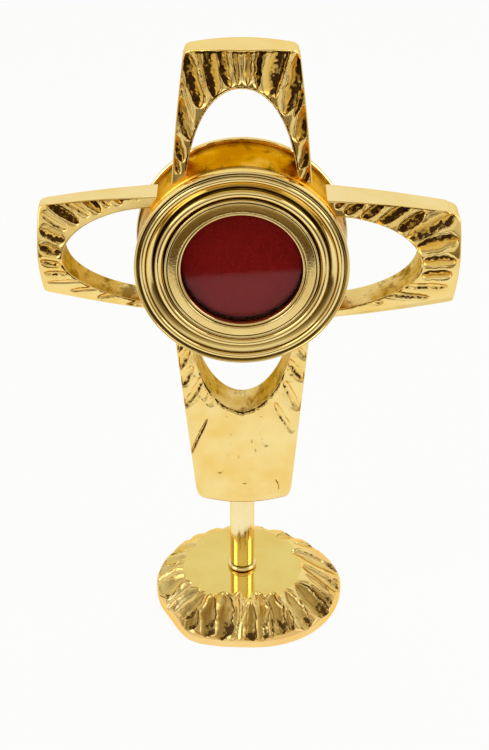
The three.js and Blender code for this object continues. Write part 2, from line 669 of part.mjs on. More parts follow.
// A knuckle on the hinge axis, with a bore for the pin
const knuckle = (from, to) => discX(KNUCKLE_RADIUS, from, to, ROUND_SMALL).translate(0, hingeY, -hingeDrop);
const pinBore = () => {
  const reach = DOOR_KNUCKLE_LENGTH / 2 + DRUM_KNUCKLE_LENGTH + 1;
  return discX(PIN_RADIUS + GAP, -reach, reach, ROUND_SMALL).translate(0, hingeY, -hingeDrop);
};

function drumKnuckles() {
  const inner = DOOR_KNUCKLE_LENGTH / 2 + GAP;
  const outer = inner + DRUM_KNUCKLE_LENGTH;
  const under = Math.sqrt(DRUM_RADIUS ** 2 - outer ** 2) - 1;
  return [[-outer, -inner], [inner, outer]].flatMap(([from, to]) => [
    knuckle(from, to),
    boxBetween([from, DRUM_BACK - KNUCKLE_ARM, -hingeDrop], [to, DRUM_BACK, -under]),
  ]);
}

function ringScrewPlaces() {
  return Array.from({ length: RING_SCREWS }, (_, i) => {
    const turn = Math.PI / 2 + (2 * Math.PI * i) / RING_SCREWS;
    return [ringScrewCircle * Math.cos(turn), ringScrewCircle * Math.sin(turn)];
  });
}

// The countersink and hole for one ring screw
function screwCutter([x, z]) {
  const wide = RING_SCREW_HEAD_RADIUS + GAP;
  const narrow = screwHole;
  const sinkFront = webBack - RING_SCREW_HEAD_DEPTH;
  return turnedY([
    [0, ringBack],
    [narrow, ringBack],
    [narrow, sinkFront],
    [wide, webBack],
    [wide, webBack + GAP],
    [0, webBack + GAP],
  ], ROUND_SMALL).translate(x, 0, z);
}

function makeCross() {
  const arms = join(...ARMS.map(makeArm));
  const gouges = ARMS.flatMap((arm) => arm.gouges.map((gouge) => makeGouge(arm, gouge)));
  const pierced = cut(arms, ...ARMS.map(makeOpening), ...gouges);
  const drum = discY(DRUM_RADIUS, DRUM_FRONT, DRUM_BACK, ROUND_LARGE);
  const whole = join(pierced, drum, ...drumKnuckles());
  const clipSeat = clipFront - GAP / 2;
  const slotTop = boreRadius + CATCH_SLOT_DEPTH;
  const slotFront = tongueFront - GAP;
  const slotBack = tongueBack + GAP;
  const rodTop = -LOWER_REACH + ROD_IN_CROSS + GAP;
  return cut(
    whole,
    discY(boreRadius, webBack, DRUM_BACK + 1, ROUND_LARGE),
    discY(webHoleRadius, DRUM_FRONT - 1, webBack + 1, ROUND_LARGE),
    discY(boreRadius + CLIP_GROOVE_DEPTH, clipSeat, clipSeat + CLIP_THICKNESS + GAP, ROUND_LARGE),
    boxBetween([-CATCH_SLOT_HALF_WIDTH, slotFront, catchRadius], [CATCH_SLOT_HALF_WIDTH, slotBack, slotTop]),
    discZ(ROD_RADIUS + THREAD_GAP, -LOWER_REACH - 1, rodTop, ROUND_MEDIUM),
    pinBore(),
    ...ringScrewPlaces().map(screwCutter),
  );
}

// Front ring, glass and retainer

// Mouldings inwards from the ring's edge, as distance from the edge and height above its front
const EDGE_MOULDINGS = [
  [0, -0.5],
  [0.4, 0],
  [0.8, 0],
  [1.2, -0.7],
  [1.5, -0.2],
  [1.9, 0.35],
  [2.6, 0.4],
  [3.1, 0],
  [4.0, -1.1],
  [5.1, -1.5],
  [5.7, -1.4],
  [5.9, -0.3],
  [6.4, 0.5],
  [7.2, 0.6],
  [7.9, 0.1],
  [8.3, -1.0],
  [9.1, -1.5],
  [9.6, -1.3],
];

// The rising cone's end and the lip, as distance from the window and depth behind the lip
const LIP_MOULDINGS = [
  [1.9, 0.7],
  [1.6, 0.2],
  [0.9, 0],
  [0.4, 0.2],
];

function makeRing() {
  const edge = EDGE_MOULDINGS.map(([inset, height]) => [RING_RADIUS - inset, ringFront - height]);
  const lip = LIP_MOULDINGS.map(([outset, depth]) => [WINDOW_RADIUS + outset, lipFront + depth]);
  const ring = turnedY([
    [RING_RADIUS, ringBack],
    ...edge,
    ...lip,
    [WINDOW_RADIUS, lipFront + LIP_ROUND],
    [WINDOW_RADIUS, glassFront - GAP],
    [rebateRadius, glassFront - GAP],
    [rebateRadius, spigotBack],
    [spigotRadius, spigotBack],
    [spigotRadius, ringBack],
    [RING_RADIUS, ringBack],
  ], ROUND_LARGE);
  const holes = ringScrewPlaces().map(([x, z]) =>
    discY(screwHole, ringBack - RING_SCREW_BITE - GAP, ringBack + 1, ROUND_SMALL).translate(x, 0, z));
  return cut(ring, ...holes);
}

function makeRingScrew() {
  const headBack = webBack;
  const headFront = headBack - RING_SCREW_HEAD_DEPTH;
  return turnedY([
    [0, ringBack - RING_SCREW_BITE],
    [RING_SCREW_RADIUS, ringBack - RING_SCREW_BITE],
    [RING_SCREW_RADIUS, headFront],
    [RING_SCREW_HEAD_RADIUS, headBack],
    [0, headBack],
  ], ROUND_SMALL);
}

const makeGlass = () => discY(glassRadius, glassFront, glassBack, ROUND_LARGE);
const makeRetainer = () =>
  ringY(glassRadius, glassRadius - RETAINER_WALL, retainerFront, retainerBack, ROUND_LARGE);

// Capsule, cushion and clip

function makeCapsule() {
  const inner = CAPSULE_RADIUS - CAPSULE_SHEET;
  return turnedY([
    [inner, flangeFront],
    [flangeRadius, flangeFront],
    [flangeRadius, flangeFront + CAPSULE_SHEET],
    [CAPSULE_RADIUS, flangeFront + CAPSULE_SHEET],
    [CAPSULE_RADIUS, capsuleBack],
    [0, capsuleBack],
    [0, capsuleBack - CAPSULE_SHEET],
    [inner, capsuleBack - CAPSULE_SHEET],
    [inner, flangeFront],
  ], ROUND_LARGE);
}

function makeCushion() {
  const outer = Math.min(CAPSULE_RADIUS - CAPSULE_SHEET, rebateRadius) - GAP;
  const neck = glassRadius - RETAINER_WALL - GAP;
  const shoulder = retainerBack + GAP;
  const front = retainerFront;
  const back = capsuleBack - CAPSULE_SHEET - CUSHION_BACK_GAP;
  return turnedY([
    [0, front],
    [neck * 0.75, front + CUSHION_CROWN * 0.2],
    [neck, front + CUSHION_CROWN],
    [neck, shoulder],
    [outer, shoulder],
    [outer, back],
    [0, back],
  ], ROUND_LARGE);
}

function makeClip() {
  const outer = boreRadius + CLIP_GROOVE_DEPTH - GAP;
  const inner = outer - CLIP_WIDTH;
  const half = THREE.MathUtils.degToRad(CLIP_OPEN_ANGLE / 2);
  const start = -Math.PI / 2 + half;
  const end = (3 * Math.PI) / 2 - half;
  const shape = new THREE.Shape();
  shape.absarc(0, 0, outer, start, end, false);
  shape.absarc(0, 0, inner, end, start, true);
  return prismY(shape, clipFront, clipFront + CLIP_THICKNESS, ROUND_LARGE / 2);
}

// Door, hinge pin and turn catch

function makeDoor() {
  const disc = turnedY([
    [0, doorFront - DOOR_SPIGOT_DEPTH],
    [doorSpigotRadius, doorFront - DOOR_SPIGOT_DEPTH],
    [doorSpigotRadius, doorFront],
    [doorRadius - DOOR_EDGE_ROUND / 2, doorFront],
    [doorRadius, doorFront + DOOR_EDGE_ROUND / 2],
    [doorRadius, doorBack - DOOR_EDGE_ROUND],
    [doorRadius - DOOR_EDGE_ROUND, doorBack],
    [0, doorBack],
  ], ROUND_LARGE);
  const half = DOOR_KNUCKLE_LENGTH / 2;
  const tab = boxBetween([-half, doorFront, -hingeDrop], [half, hingeY + KNUCKLE_RADIUS, -doorRadius + 1]);
  const hole = discY(SHAFT_RADIUS + GAP, doorFront - DOOR_SPIGOT_DEPTH - 1, doorBack + 1, ROUND_SMALL);
  return cut(join(disc, knuckle(-half, half), tab), pinBore(), hole.translate(0, 0, catchRadius));
}

function makePin() {
  const reach = DOOR_KNUCKLE_LENGTH / 2 + GAP + DRUM_KNUCKLE_LENGTH + GAP;
  const head = reach + PIN_HEAD_LENGTH;
  return join(
    discX(PIN_RADIUS, -head, head, ROUND_SMALL),
    discX(PIN_HEAD_RADIUS, reach, head, ROUND_SMALL),
    discX(PIN_HEAD_RADIUS, -head, -reach, ROUND_SMALL),
  );
}

function makeKnob() {
  const collarFront = doorBack + GAP;
  const wingFront = collarFront + KNOB_COLLAR_DEPTH;
  const reach = (KNOB_LENGTH - KNOB_WIDTH) / 2;
  const shaftEnd = tongueBack + GAP;
  const body = join(
    discY(SHAFT_RADIUS, shaftEnd, wingFront, ROUND_SMALL),
    discY(KNOB_COLLAR_RADIUS, collarFront, wingFront, ROUND_MEDIUM),
    prismY(barShape(-reach, reach, KNOB_WIDTH), wingFront - GAP, wingFront + KNOB_DEPTH, 8),
  );
  const bore = CATCH_SCREW_RADIUS + THREAD_GAP;
  return cut(body, discY(bore, shaftEnd - 1, shaftEnd + CATCH_SCREW_LENGTH, ROUND_SMALL));
}

function makeTongue() {
  const tip = TONGUE_LENGTH - TONGUE_WIDTH / 2;
  const bar = prismY(barShape(0, tip, TONGUE_WIDTH), tongueFront, tongueBack, 8);
  const bore = CATCH_SCREW_RADIUS + THREAD_GAP;
  return cut(bar, discY(bore, tongueFront - 1, tongueBack + 1, ROUND_SMALL));
}

function makeCatchScrew() {
  const headBack = tongueFront - GAP;
  const headFront = headBack - CATCH_SCREW_HEAD_DEPTH;
  const shankBack = tongueBack + CATCH_SCREW_LENGTH;
  return turnedY([
    [0, headFront],
    [CATCH_SCREW_HEAD_RADIUS, headFront],
    [CATCH_SCREW_HEAD_RADIUS, headBack],
    [CATCH_SCREW_RADIUS, headBack],
    [CATCH_SCREW_RADIUS, shankBack],
    [0, shankBack],
  ], ROUND_SMALL);
}

// Assembly

function piece(name, geometry, material, place = [0, 0, 0]) {
  const mesh = new THREE.Mesh(geometry, material);
  mesh.name = name;
  mesh.position.set(...place);
  return mesh;
}

// Foot and stem stand on the floor
const stand = new THREE.Group();
const foot = piece('base', makeBase(), gilt());
stand.add(foot);
stand.add(piece('base_washer', makeWasher(), steel()));
stand.add(piece('base_nut', makeNut(), steel()));
stand.add(piece('tie_rod', makeRod(), steel()));
stand.add(piece('stem_collar', makeCollar(), gilt()));
stand.add(piece('stem_tube', makeStem(), gilt()));

// Everything round the window is placed from the window's axis
const head = new THREE.Group();
head.position.z = WINDOW_HEIGHT;
head.add(piece('cross_body', makeCross(), gilt()));
head.add(piece('front_ring', makeRing(), gilt()));
ringScrewPlaces().forEach(([x, z], i) => {
  head.add(piece(`ring_screw_${i + 1}`, makeRingScrew(), steel(), [x, 0, z]));
});
head.add(piece('glass', makeGlass(), glassClear()));
head.add(piece('glass_retainer', makeRetainer(), giltMatt()));
head.add(piece('relic_capsule', makeCapsule(), giltMatt()));
head.add(piece('relic_cushion', makeCushion(), velvet()));
head.add(piece('capsule_clip', makeClip(), steel()));
head.add(piece('back_door', makeDoor(), gilt()));
head.add(piece('hinge_pin', makePin(), steel(), [0, hingeY, -hingeDrop]));

const turnCatch = new THREE.Group();
turnCatch.position.z = catchRadius;
turnCatch.add(piece('catch_knob', makeKnob(), gilt()));
turnCatch.add(piece('catch_tongue', makeTongue(), giltMatt()));
turnCatch.add(piece('catch_screw', makeCatchScrew(), steel()));
head.add(turnCatch);

const reliquary = new THREE.Group();
reliquary.name = 'reliquary';
// The arms reach further on one side and the foot to the front, so the stem stands beside the middle of
// the whole width and depth
foot.geometry.computeBoundingBox();
const footBox = foot.geometry.boundingBox;
reliquary.position.x = (LEFT_REACH - RIGHT_REACH) / 2;
reliquary.position.y = -(footBox.min.y + footBox.max.y) / 2;
reliquary.add(stand, head);
reliquary.updateMatrixWorld(true);

export default reliquary;
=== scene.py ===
import math

import bmesh
import bpy
import numpy as np
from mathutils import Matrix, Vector


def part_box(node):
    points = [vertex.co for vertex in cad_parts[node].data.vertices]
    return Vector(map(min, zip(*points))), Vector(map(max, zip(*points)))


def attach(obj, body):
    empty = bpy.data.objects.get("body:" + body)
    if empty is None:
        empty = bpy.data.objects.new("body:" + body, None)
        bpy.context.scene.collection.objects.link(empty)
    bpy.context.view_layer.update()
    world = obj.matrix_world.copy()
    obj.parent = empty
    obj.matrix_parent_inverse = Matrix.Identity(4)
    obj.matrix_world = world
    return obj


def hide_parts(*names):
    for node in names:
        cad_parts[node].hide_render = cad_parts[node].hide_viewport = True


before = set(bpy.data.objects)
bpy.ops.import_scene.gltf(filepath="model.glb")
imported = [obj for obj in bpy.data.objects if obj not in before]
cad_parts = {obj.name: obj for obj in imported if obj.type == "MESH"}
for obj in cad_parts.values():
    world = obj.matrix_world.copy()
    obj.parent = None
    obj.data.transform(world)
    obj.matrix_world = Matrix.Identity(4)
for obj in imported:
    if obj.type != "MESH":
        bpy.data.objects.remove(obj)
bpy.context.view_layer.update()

# Lengths in this script are millimetres, and MM turns them into Blender's metres
MM = 0.001

# Pieces are modelled from the foot of the stem's axis, and mesh_piece moves them to their place
stem_box = [np.array(corner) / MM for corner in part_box("stem_tube")]
ORIGIN = (stem_box[0] + stem_box[1]) / 2 * (1, 1, 0)


def span(node):
    """A node's lowest and highest corners, measured from the foot of the stem's axis."""
    return [np.array(corner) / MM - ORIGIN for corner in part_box(node)]


# Places read from the frame
glass_low, glass_high = span("glass")
ring_low, ring_high = span("front_ring")
stem_low, stem_high = span("stem_tube")
collar_low, collar_high = span("stem_collar")
cushion_low, cushion_high = span("relic_cushion")
capsule_low, capsule_high = span("relic_capsule")
retainer_low, retainer_high = span("glass_retainer")
pin_low, pin_high = span("hinge_pin")
knob_low, knob_high = span("catch_knob")

AXIS_Z = (glass_low[2] + glass_high[2]) / 2
HEAD = (0, 0, AXIS_Z)
SPIGOT_LENGTH = 2.1
SPIGOT_WALL = 1.2
GLASS_GAP = 0.3
RING_EDGE_DEPTH = 4.0
RING_BACK = ring_high[1] - SPIGOT_LENGTH
RING_RADIUS = (ring_high[0] - ring_low[0]) / 2
RING_NECK = RING_RADIUS - 0.6  # behind the rim's edge
WINDOW_RADIUS = 18.3
BASE_HEIGHT = span("base")[1][2]

# Cross casting, with the same sizes as its solid
PLATE_FRONT = -6.8
PLATE_BACK = 6.9
DRUM_RADIUS = 32.0
DRUM_FRONT = -8.4
DRUM_BACK = 9.0
BORE_RADIUS = 27.5
WEB_BACK = DRUM_FRONT + 2.5
WEB_HOLE = 21.6
ARM_ROOT = 24.0
CROWN_POWER = 1.5
OPENING_CENTRE = 20.0
OPENING_LENGTH = 34.5
OPENING_HALF_WIDTH = 16.6
OPENING_END_ANGLE = 83  # degrees, where an arch's sides run into the drum
CORNER_SHARE = 0.42  # part of the way round an arm where its tip's corner lies
EDGE_OUT = 0.5  # rounding of the outer front edge
EDGE_IN = 0.4  # rounding of the arch's front edge
EDGE_BACK = 0.7
EDGE_STEPS = 5

# Gouges: an angle in degrees from the arm's middle and a distance from the window's axis for the inner end,
# the same for the outer end, then the half width, the depth and how much of the floor is dark and rough,
# which is written as negative where that side lies at smaller angles
TOP_GOUGES = [
    (14.2, 49.5, 13.7, 65.0, 2.1, 1.7, 1.0), (8.4, 52.0, 7.8, 68.5, 2.2, 1.8, 0.95),
    (3.6, 55.0, 5.0, 68.5, 1.8, 1.6, 0.85), (1.2, 55.8, 1.6, 68.5, 1.0, 1.2, 0.5),
    (-1.6, 55.6, -1.4, 68.0, 1.2, 1.4, -0.35), (-4.6, 54.8, -4.1, 68.5, 1.2, 1.6, -1.0),
    (-8.2, 52.5, -8.6, 68.5, 2.6, 1.5, -0.7), (-10.6, 52.3, -12.2, 68.5, 0.7, 1.3, 1.0),
    (-15.4, 47.6, -14.8, 65.5, 2.3, 1.7, -0.9), (-18.6, 47.5, -18.9, 60.0, 0.9, 1.0, -1.0),
    (-23.6, 41.0, -21.4, 52.0, 2.0, 1.6, -0.9), (-31.0, 34.2, -28.0, 43.5, 1.5, 1.5, -1.0),
    (-36.0, 31.0, -34.0, 37.2, 1.0, 1.2, -1.0), (21.6, 41.0, 20.0, 54.0, 1.6, 1.4, 0.75),
    (29.0, 36.0, 26.8, 45.0, 1.3, 1.3, 1.0), (17.6, 46.0, 17.4, 62.0, 1.0, 0.8, 0.2),
    (11.1, 52.0, 10.8, 66.5, 0.9, 0.9, 0.3), (33.5, 33.5, 31.0, 38.0, 0.8, 1.0, 1.0),
]
LEFT_GOUGES = [
    (-12.6, 50.2, -15.0, 61.0, 1.35, 1.7, 1.0), (-9.6, 53.6, -12.0, 62.0, 1.3, 0.8, 0.25),
    (-16.0, 47.6, -18.0, 58.0, 1.2, 0.9, 0.3), (-19.0, 44.6, -21.2, 55.4, 1.5, 1.6, -1.0),
    (-22.4, 42.6, -24.2, 49.4, 1.1, 0.9, 0.35), (-25.6, 39.6, -27.2, 46.4, 1.4, 1.4, -1.0),
    (-29.4, 37.4, -30.2, 42.0, 0.9, 0.7, 0.4), (-32.0, 35.6, -32.4, 38.8, 0.9, 1.1, 0.9),
    (-6.4, 53.8, -7.4, 62.0, 1.7, 1.2, 0.65), (-2.2, 54.8, -3.0, 62.0, 1.5, 1.2, 0.8),
    (1.8, 55.2, 1.5, 61.4, 1.3, 1.0, 0.5), (6.0, 53.6, 5.8, 61.0, 1.2, 0.9, 0.4),
    (10.2, 49.4, 9.8, 61.0, 1.1, 0.7, -0.35), (14.3, 43.8, 14.2, 55.0, 1.2, 0.8, -0.5),
    (19.6, 37.8, 19.2, 47.5, 1.4, 1.0, -0.6), (27.5, 34.0, 27.2, 40.5, 1.0, 0.9, -0.5),
]
RIGHT_GOUGES = [
    (31.5, 32.6, 32.4, 36.6, 1.0, 1.2, -1.0), (26.0, 34.2, 27.6, 41.4, 1.6, 1.6, -1.0),
    (20.7, 38.2, 22.8, 46.0, 1.6, 1.6, -1.0), (16.0, 42.2, 18.3, 53.6, 1.6, 1.7, -1.0),
    (11.2, 47.8, 14.8, 56.6, 1.6, 1.7, -1.0), (8.2, 50.3, 11.8, 65.6, 2.4, 1.5, -0.75),
    (3.6, 52.6, 5.2, 65.8, 2.1, 1.5, 0.85), (-1.2, 54.8, -0.7, 65.2, 1.8, 1.3, 0.75),
    (-5.8, 55.2, -5.2, 64.6, 1.6, 1.2, 0.9), (-11.2, 49.2, -9.5, 64.4, 1.5, 0.9, -0.4),
    (-16.0, 42.6, -14.4, 60.0, 1.4, 1.0, -0.45), (-21.0, 38.4, -20.0, 46.6, 1.0, 0.6, -0.3),
]
LOWER_GOUGES = [
    (-32.0, 35.6, -32.4, 39.6, 1.4, 0.7, 0.45), (-27.3, 36.2, -27.8, 45.4, 1.6, 0.9, 0.45),
    (-22.2, 41.2, -22.9, 50.0, 1.5, 0.9, 0.4), (-17.0, 44.2, -19.0, 57.6, 1.5, 0.9, 0.4),
    (-13.5, 48.2, -13.6, 52.4, 0.9, 0.5, 0.25), (-10.8, 50.6, -11.2, 54.0, 0.9, 0.5, 0.2),
    (-11.0, 59.0, -13.0, 74.6, 0.6, 0.6, 0.9), (30.0, 35.2, 30.2, 41.4, 1.0, 0.7, -0.4),
    (22.4, 38.2, 25.0, 48.4, 1.6, 0.9, -0.35), (17.4, 45.8, 18.6, 58.4, 1.5, 0.9, -0.3),
    (11.6, 52.8, 14.6, 66.0, 1.3, 0.7, -0.3), (6.4, 57.0, 6.6, 69.4, 1.6, 0.4, -0.12),
    (-5.0, 57.0, -5.6, 80.0, 2.6, 0.35, 0.0), (0.6, 60.0, 0.4, 84.0, 3.2, 0.3, 0.0),
    (7.6, 83.6, 8.0, 87.8, 0.4, 0.45, 0.5), (-1.2, 72.0, -0.9, 73.4, 0.35, 0.3, 0.5),
    (2.6, 66.0, 2.8, 67.0, 0.3, 0.3, 0.5), (3.4, 69.6, 3.6, 70.8, 0.35, 0.3, 0.4),
]

# Corner radii are those of the tip's corners at negative and at positive angles. A line is a groove beside
# the arch or the rim,
# darkened as patina with painted shade: from one part of the way round to another, its distance and its half
# width
ARMS = {
    "top": dict(
        angle=90, reach=65.6, root_half=20.9, tip_half=16.6, bow=1.8, corners=(2.2, 2.2), bulge=0.3,
        root_shift=0.0, tip_shift=0.0, tip_crown=-5.0, root_shoulder=-5.2, tip_shoulder=0.2,
        opening_shift=0.0, gouges=TOP_GOUGES, arch_line=(-0.95, 0.95, 0.5, 0.2),
        rim_line=(-0.36, 0.36, 0.95, 0.5), across=72, waves=0.05,
    ),
    "left": dict(
        angle=180, reach=62.2, root_half=19.6, tip_half=14.8, bow=0.7, corners=(1.4, 0.9), bulge=0.5,
        root_shift=0.0, tip_shift=0.0, tip_crown=-4.4, root_shoulder=-3.2, tip_shoulder=1.2,
        opening_shift=0.0, gouges=LEFT_GOUGES, arch_line=(0.05, 0.95, 0.6, 0.28),
        rim_line=(-0.9, -0.5, 0.6, 0.14), across=72, waves=0.06,
    ),
    "right": dict(
        angle=0, reach=66.5, root_half=20.2, tip_half=15.4, bow=0.6, corners=(0.9, 3.2), bulge=0.5,
        root_shift=-0.6, tip_shift=-1.9, tip_crown=-5.2, root_shoulder=-5.6, tip_shoulder=-0.8,
        opening_shift=-1.8, gouges=RIGHT_GOUGES, arch_line=(-0.95, 0.0, 0.5, 0.22),
        rim_line=(0.42, 0.9, 0.6, 0.24), across=72, waves=0.06,
    ),
    "lower": dict(
        angle=270, reach=91.7, root_half=21.4, tip_half=15.6, bow=1.5, corners=(2.8, 2.8), bulge=0.0,
        root_shift=0.0, tip_shift=0.6, tip_crown=-6.0, root_shoulder=-5.4, tip_shoulder=-4.2,
        opening_shift=0.0, gouges=LOWER_GOUGES, arch_line=(-0.7, 0.7, 0.55, 0.45),
        rim_line=(-0.4, -0.38, 0.5, 0.1), across=120, waves=0.26,
    ),
}

# Foot, with the same sizes as its solid
FOOT_BAND = 2.8
FOOT_SHOULDER_FRONT = 4.4
FOOT_SHOULDER_BACK = 5.6
FOOT_ROLL = 1.5
FOOT_SILL = 2.9  # no scoop cuts the band below this height
FOOT_LEAN = 1.3
FOOT_TOP_RADIUS = 20.6
FOOT_CHAMFER = 0.4
FOOT_WALL = 4.6
FOOT_HOLLOW_TOP_RADIUS = 17.5
FOOT_HOLLOW_TOP = BASE_HEIGHT - 3.0
ROD_HOLE = 3.3
FOOT_INSET = 0.04  # keeps the outline inside that of the solid
FOOT_PLAIN_RADIUS = 14.0  # inside it no scoop is modelled
FOOT_SLOPE_STEPS = 74
FOOT_LEAN_STEPS = 15

# Outline of the foot seen from above: degrees from the front, positive to the right, and a radius
FOOT_OUTLINE = [
    (0, 32.8), (20, 34.0), (42, 34.9), (68, 34.8), (92, 34.2), (115, 31.2), (145, 29.0), (180, 28.4),
    (215, 28.6), (240, 28.8), (268, 29.8), (290, 30.4), (308, 30.9), (322, 33.1), (330, 34.2), (345, 33.3),
]

# Scoops round the foot's rim, written as the gouges are, with angles from the front; one that ends at RUN_OUT
# breaks through the rim's edge
RUN_OUT = 33.4
FOOT_SCOOPS = [
    (-72.0, 20.5, -73.0, 30.3, 3.9, 1.8, 0.5), (-60.5, 20.0, -63.0, 29.7, 2.5, 1.4, 0.2),
    (-48.0, 19.5, -52.0, 30.3, 2.8, 1.4, 0.2), (-56.0, 27.0, -57.0, 31.2, 1.1, 1.0, 0.4),
    (-41.5, 19.5, -40.5, 30.5, 2.3, 1.5, 0.6), (-38.5, 26.0, -32.0, RUN_OUT, 2.3, 1.7, 1.0),
    (-32.5, 19.0, -21.5, RUN_OUT, 2.7, 1.7, 0.9), (-22.0, 16.0, -12.5, RUN_OUT, 3.5, 2.0, 0.8),
    (-5.0, 15.0, -7.0, RUN_OUT, 2.0, 1.5, 0.3), (1.0, 17.5, -0.5, 34.0, 1.7, 0.9, 0.2),
    (8.0, 20.0, 3.5, RUN_OUT, 2.4, 1.9, 1.0), (20.0, 16.0, 10.0, RUN_OUT, 3.2, 1.8, 0.5),
    (24.0, 18.0, 17.0, RUN_OUT, 1.7, 1.2, 0.5), (33.0, 18.0, 23.5, RUN_OUT, 2.7, 1.7, 0.8),
    (35.0, 26.0, 30.5, RUN_OUT, 1.4, 1.5, 0.8), (48.0, 20.0, 38.5, 35.4, 2.8, 1.7, 0.6),
    (61.0, 20.5, 54.0, 35.6, 3.6, 1.9, 0.9), (68.0, 25.0, 63.0, 34.2, 1.5, 1.3, 0.8),
    (90.0, 20.5, 75.0, 34.2, 2.6, 1.6, 0.3), (78.0, 22.0, 70.0, 32.0, 1.5, 1.0, 0.2),
    (111.0, 18.5, 91.0, 34.2, 3.4, 1.7, 0.4), (139.0, 19.5, 138.0, 29.5, 3.0, 1.5, 0.5),
    (125.0, 22.0, 119.0, 31.0, 2.2, 1.1, 0.4), (158.0, 21.0, 160.0, 29.5, 2.5, 1.2, 0.4),
    (173.0, 22.0, 173.0, 29.0, 2.0, 1.0, 0.3), (-122.0, 19.5, -120.0, 29.4, 3.4, 1.5, 0.5),
    (-112.5, 20.0, -113.0, 29.3, 1.5, 1.1, 0.3), (-103.0, 20.0, -103.5, 29.6, 2.5, 1.5, 0.5),
    (-93.5, 20.3, -94.0, 30.0, 2.5, 1.5, 0.5), (-84.0, 20.5, -85.0, 30.2, 2.2, 1.4, 0.3),
    (-151.0, 20.0, -151.0, 29.0, 2.8, 1.4, 0.4), (-137.5, 20.5, -137.0, 29.3, 2.2, 1.2, 0.3),
    (-165.0, 21.0, -165.5, 29.0, 2.3, 1.2, 0.4), (-178.0, 22.0, -179.0, 29.0, 2.0, 1.0, 0.3),
]

# Door, hinge and catch
DOOR_THICKNESS = 2.2
DOOR_OVERLAP = 0.9  # past the drum
DOOR_STEP_GAP = 0.6  # to the bore
DOOR_STEP_DEPTH = 0.9
DOOR_BACK = span("back_door")[1][1]
DOOR_FRONT = DOOR_BACK - DOOR_THICKNESS
DOOR_RADIUS = DRUM_RADIUS + DOOR_OVERLAP
DOOR_STEP_RADIUS = BORE_RADIUS - DOOR_STEP_GAP
DOOR_STEP_FRONT = DOOR_FRONT - DOOR_STEP_DEPTH
DOOR_EDGE = 0.7
PIN_Y = (pin_low[1] + pin_high[1]) / 2
PIN_Z = (pin_low[2] + pin_high[2]) / 2
PIN_CENTRE = (0, PIN_Y, PIN_Z)
PIN_RADIUS = 1.0
PIN_HEAD_RADIUS = 1.6
PIN_HEAD_LENGTH = 0.8
PIN_HOLE = 1.3
KNUCKLE_RADIUS = 2.2
DOOR_KNUCKLE_HALF = 4.0
DRUM_KNUCKLE = (4.3, 9.0)
CATCH_Z = (knob_low[2] + knob_high[2]) / 2
SHAFT_HOLE = 1.8
SLOT_HALF_WIDTH = 5.6
SLOT_FRONT = 5.4
SLOT_BACK = 7.8
SLOT_TOP = 30.4


# Small tools for meshes

def noise_grid(seed, size=64):
    return np.random.default_rng(seed).random((size, size)) * 2 - 1


def smooth_noise(grid, x, y):
    """Smoothly joined random heights from -1 to 1, one lattice step per unit."""
    size = grid.shape[0]
    column, row = np.floor(x), np.floor(y)
    fx, fy = x - column, y - row
    fx = fx * fx * (3 - 2 * fx)
    fy = fy * fy * (3 - 2 * fy)
    c0, r0 = column.astype(int) % size, row.astype(int) % size
    c1, r1 = (c0 + 1) % size, (r0 + 1) % size
    low = grid[r0, c0] * (1 - fx) + grid[r0, c1] * fx
    high = grid[r1, c0] * (1 - fx) + grid[r1, c1] * fx
    return low * (1 - fy) + high * fy


def mesh_piece(name, points, faces, materials, index=None):
    """Makes an object from points in millimetres, measured from the foot of the stem's axis."""
    mesh = bpy.data.meshes.new(name)
    mesh.from_pydata(((np.asarray(points) + ORIGIN) * MM).tolist(), [], faces)
    for material in materials:
        mesh.materials.append(material)
    if index is not None:
        mesh.polygons.foreach_set("material_index", np.asarray(index, dtype=np.int32))
    mesh.polygons.foreach_set("use_smooth", np.full(len(mesh.polygons), True))
    mesh.update()
    piece = bpy.data.objects.new(name, mesh)
    bpy.context.scene.collection.objects.link(piece)
    return piece


def settle(piece, body, slot, *nodes):
    """Puts a piece on its body, in place of the nodes that it stands for."""
    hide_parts(*nodes)
    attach(piece, body)


def grid_quads(rows, columns, wrap_rows=False, wrap_columns=False):
    """Faces between neighbouring rows and columns of a grid of points."""
    r = np.arange(rows if wrap_rows else rows - 1)
    c = np.arange(columns if wrap_columns else columns - 1)
    rr, cc = np.meshgrid(r, c, indexing="ij")
    r1, c1 = (rr + 1) % rows, (cc + 1) % columns
    quads = np.stack([rr * columns + cc, rr * columns + c1, r1 * columns + c1, r1 * columns + cc], -1)
    return quads.reshape(-1, 4)


def add_attribute(piece, name, values):
    layer = piece.data.attributes.new(name, "FLOAT", "POINT")
    layer.data.foreach_set("value", np.asarray(values, dtype=np.float32).ravel())


def add_front_shares(piece, columns, gouge, rough):
    """Gouge and darkness shares on the first columns of a piece's points, and none on the rest."""
    for name, values in (("gouge", gouge), ("rough", rough)):
        share = np.zeros((len(values), columns))
        share[:, :values.shape[1]] = values
        add_attribute(piece, name, share)


def outward(piece):
    """Turns a closed mesh's faces outwards."""
    mesh = piece.data
    mesh.calc_loop_triangles()
    corners = np.empty(len(mesh.vertices) * 3)
    mesh.vertices.foreach_get("co", corners)
    corners = corners.reshape(-1, 3) - ORIGIN * MM
    triangles = np.empty(len(mesh.loop_triangles) * 3, dtype=np.int32)
    mesh.loop_triangles.foreach_get("vertices", triangles)
    a, b, c = (corners[triangles.reshape(-1, 3)[:, k]] for k in range(3))
    if np.einsum("ij,ij->i", a, np.cross(b, c)).sum() < 0:
        mesh.flip_normals()


def weld(piece):
    """Joins points that coincide, as on the axis of a turned piece."""
    mesh = bmesh.new()
    mesh.from_mesh(piece.data)
    bmesh.ops.remove_doubles(mesh, verts=mesh.verts, dist=1e-7)
    bmesh.ops.dissolve_degenerate(mesh, dist=1e-8, edges=mesh.edges)
    mesh.to_mesh(piece.data)
    mesh.free()


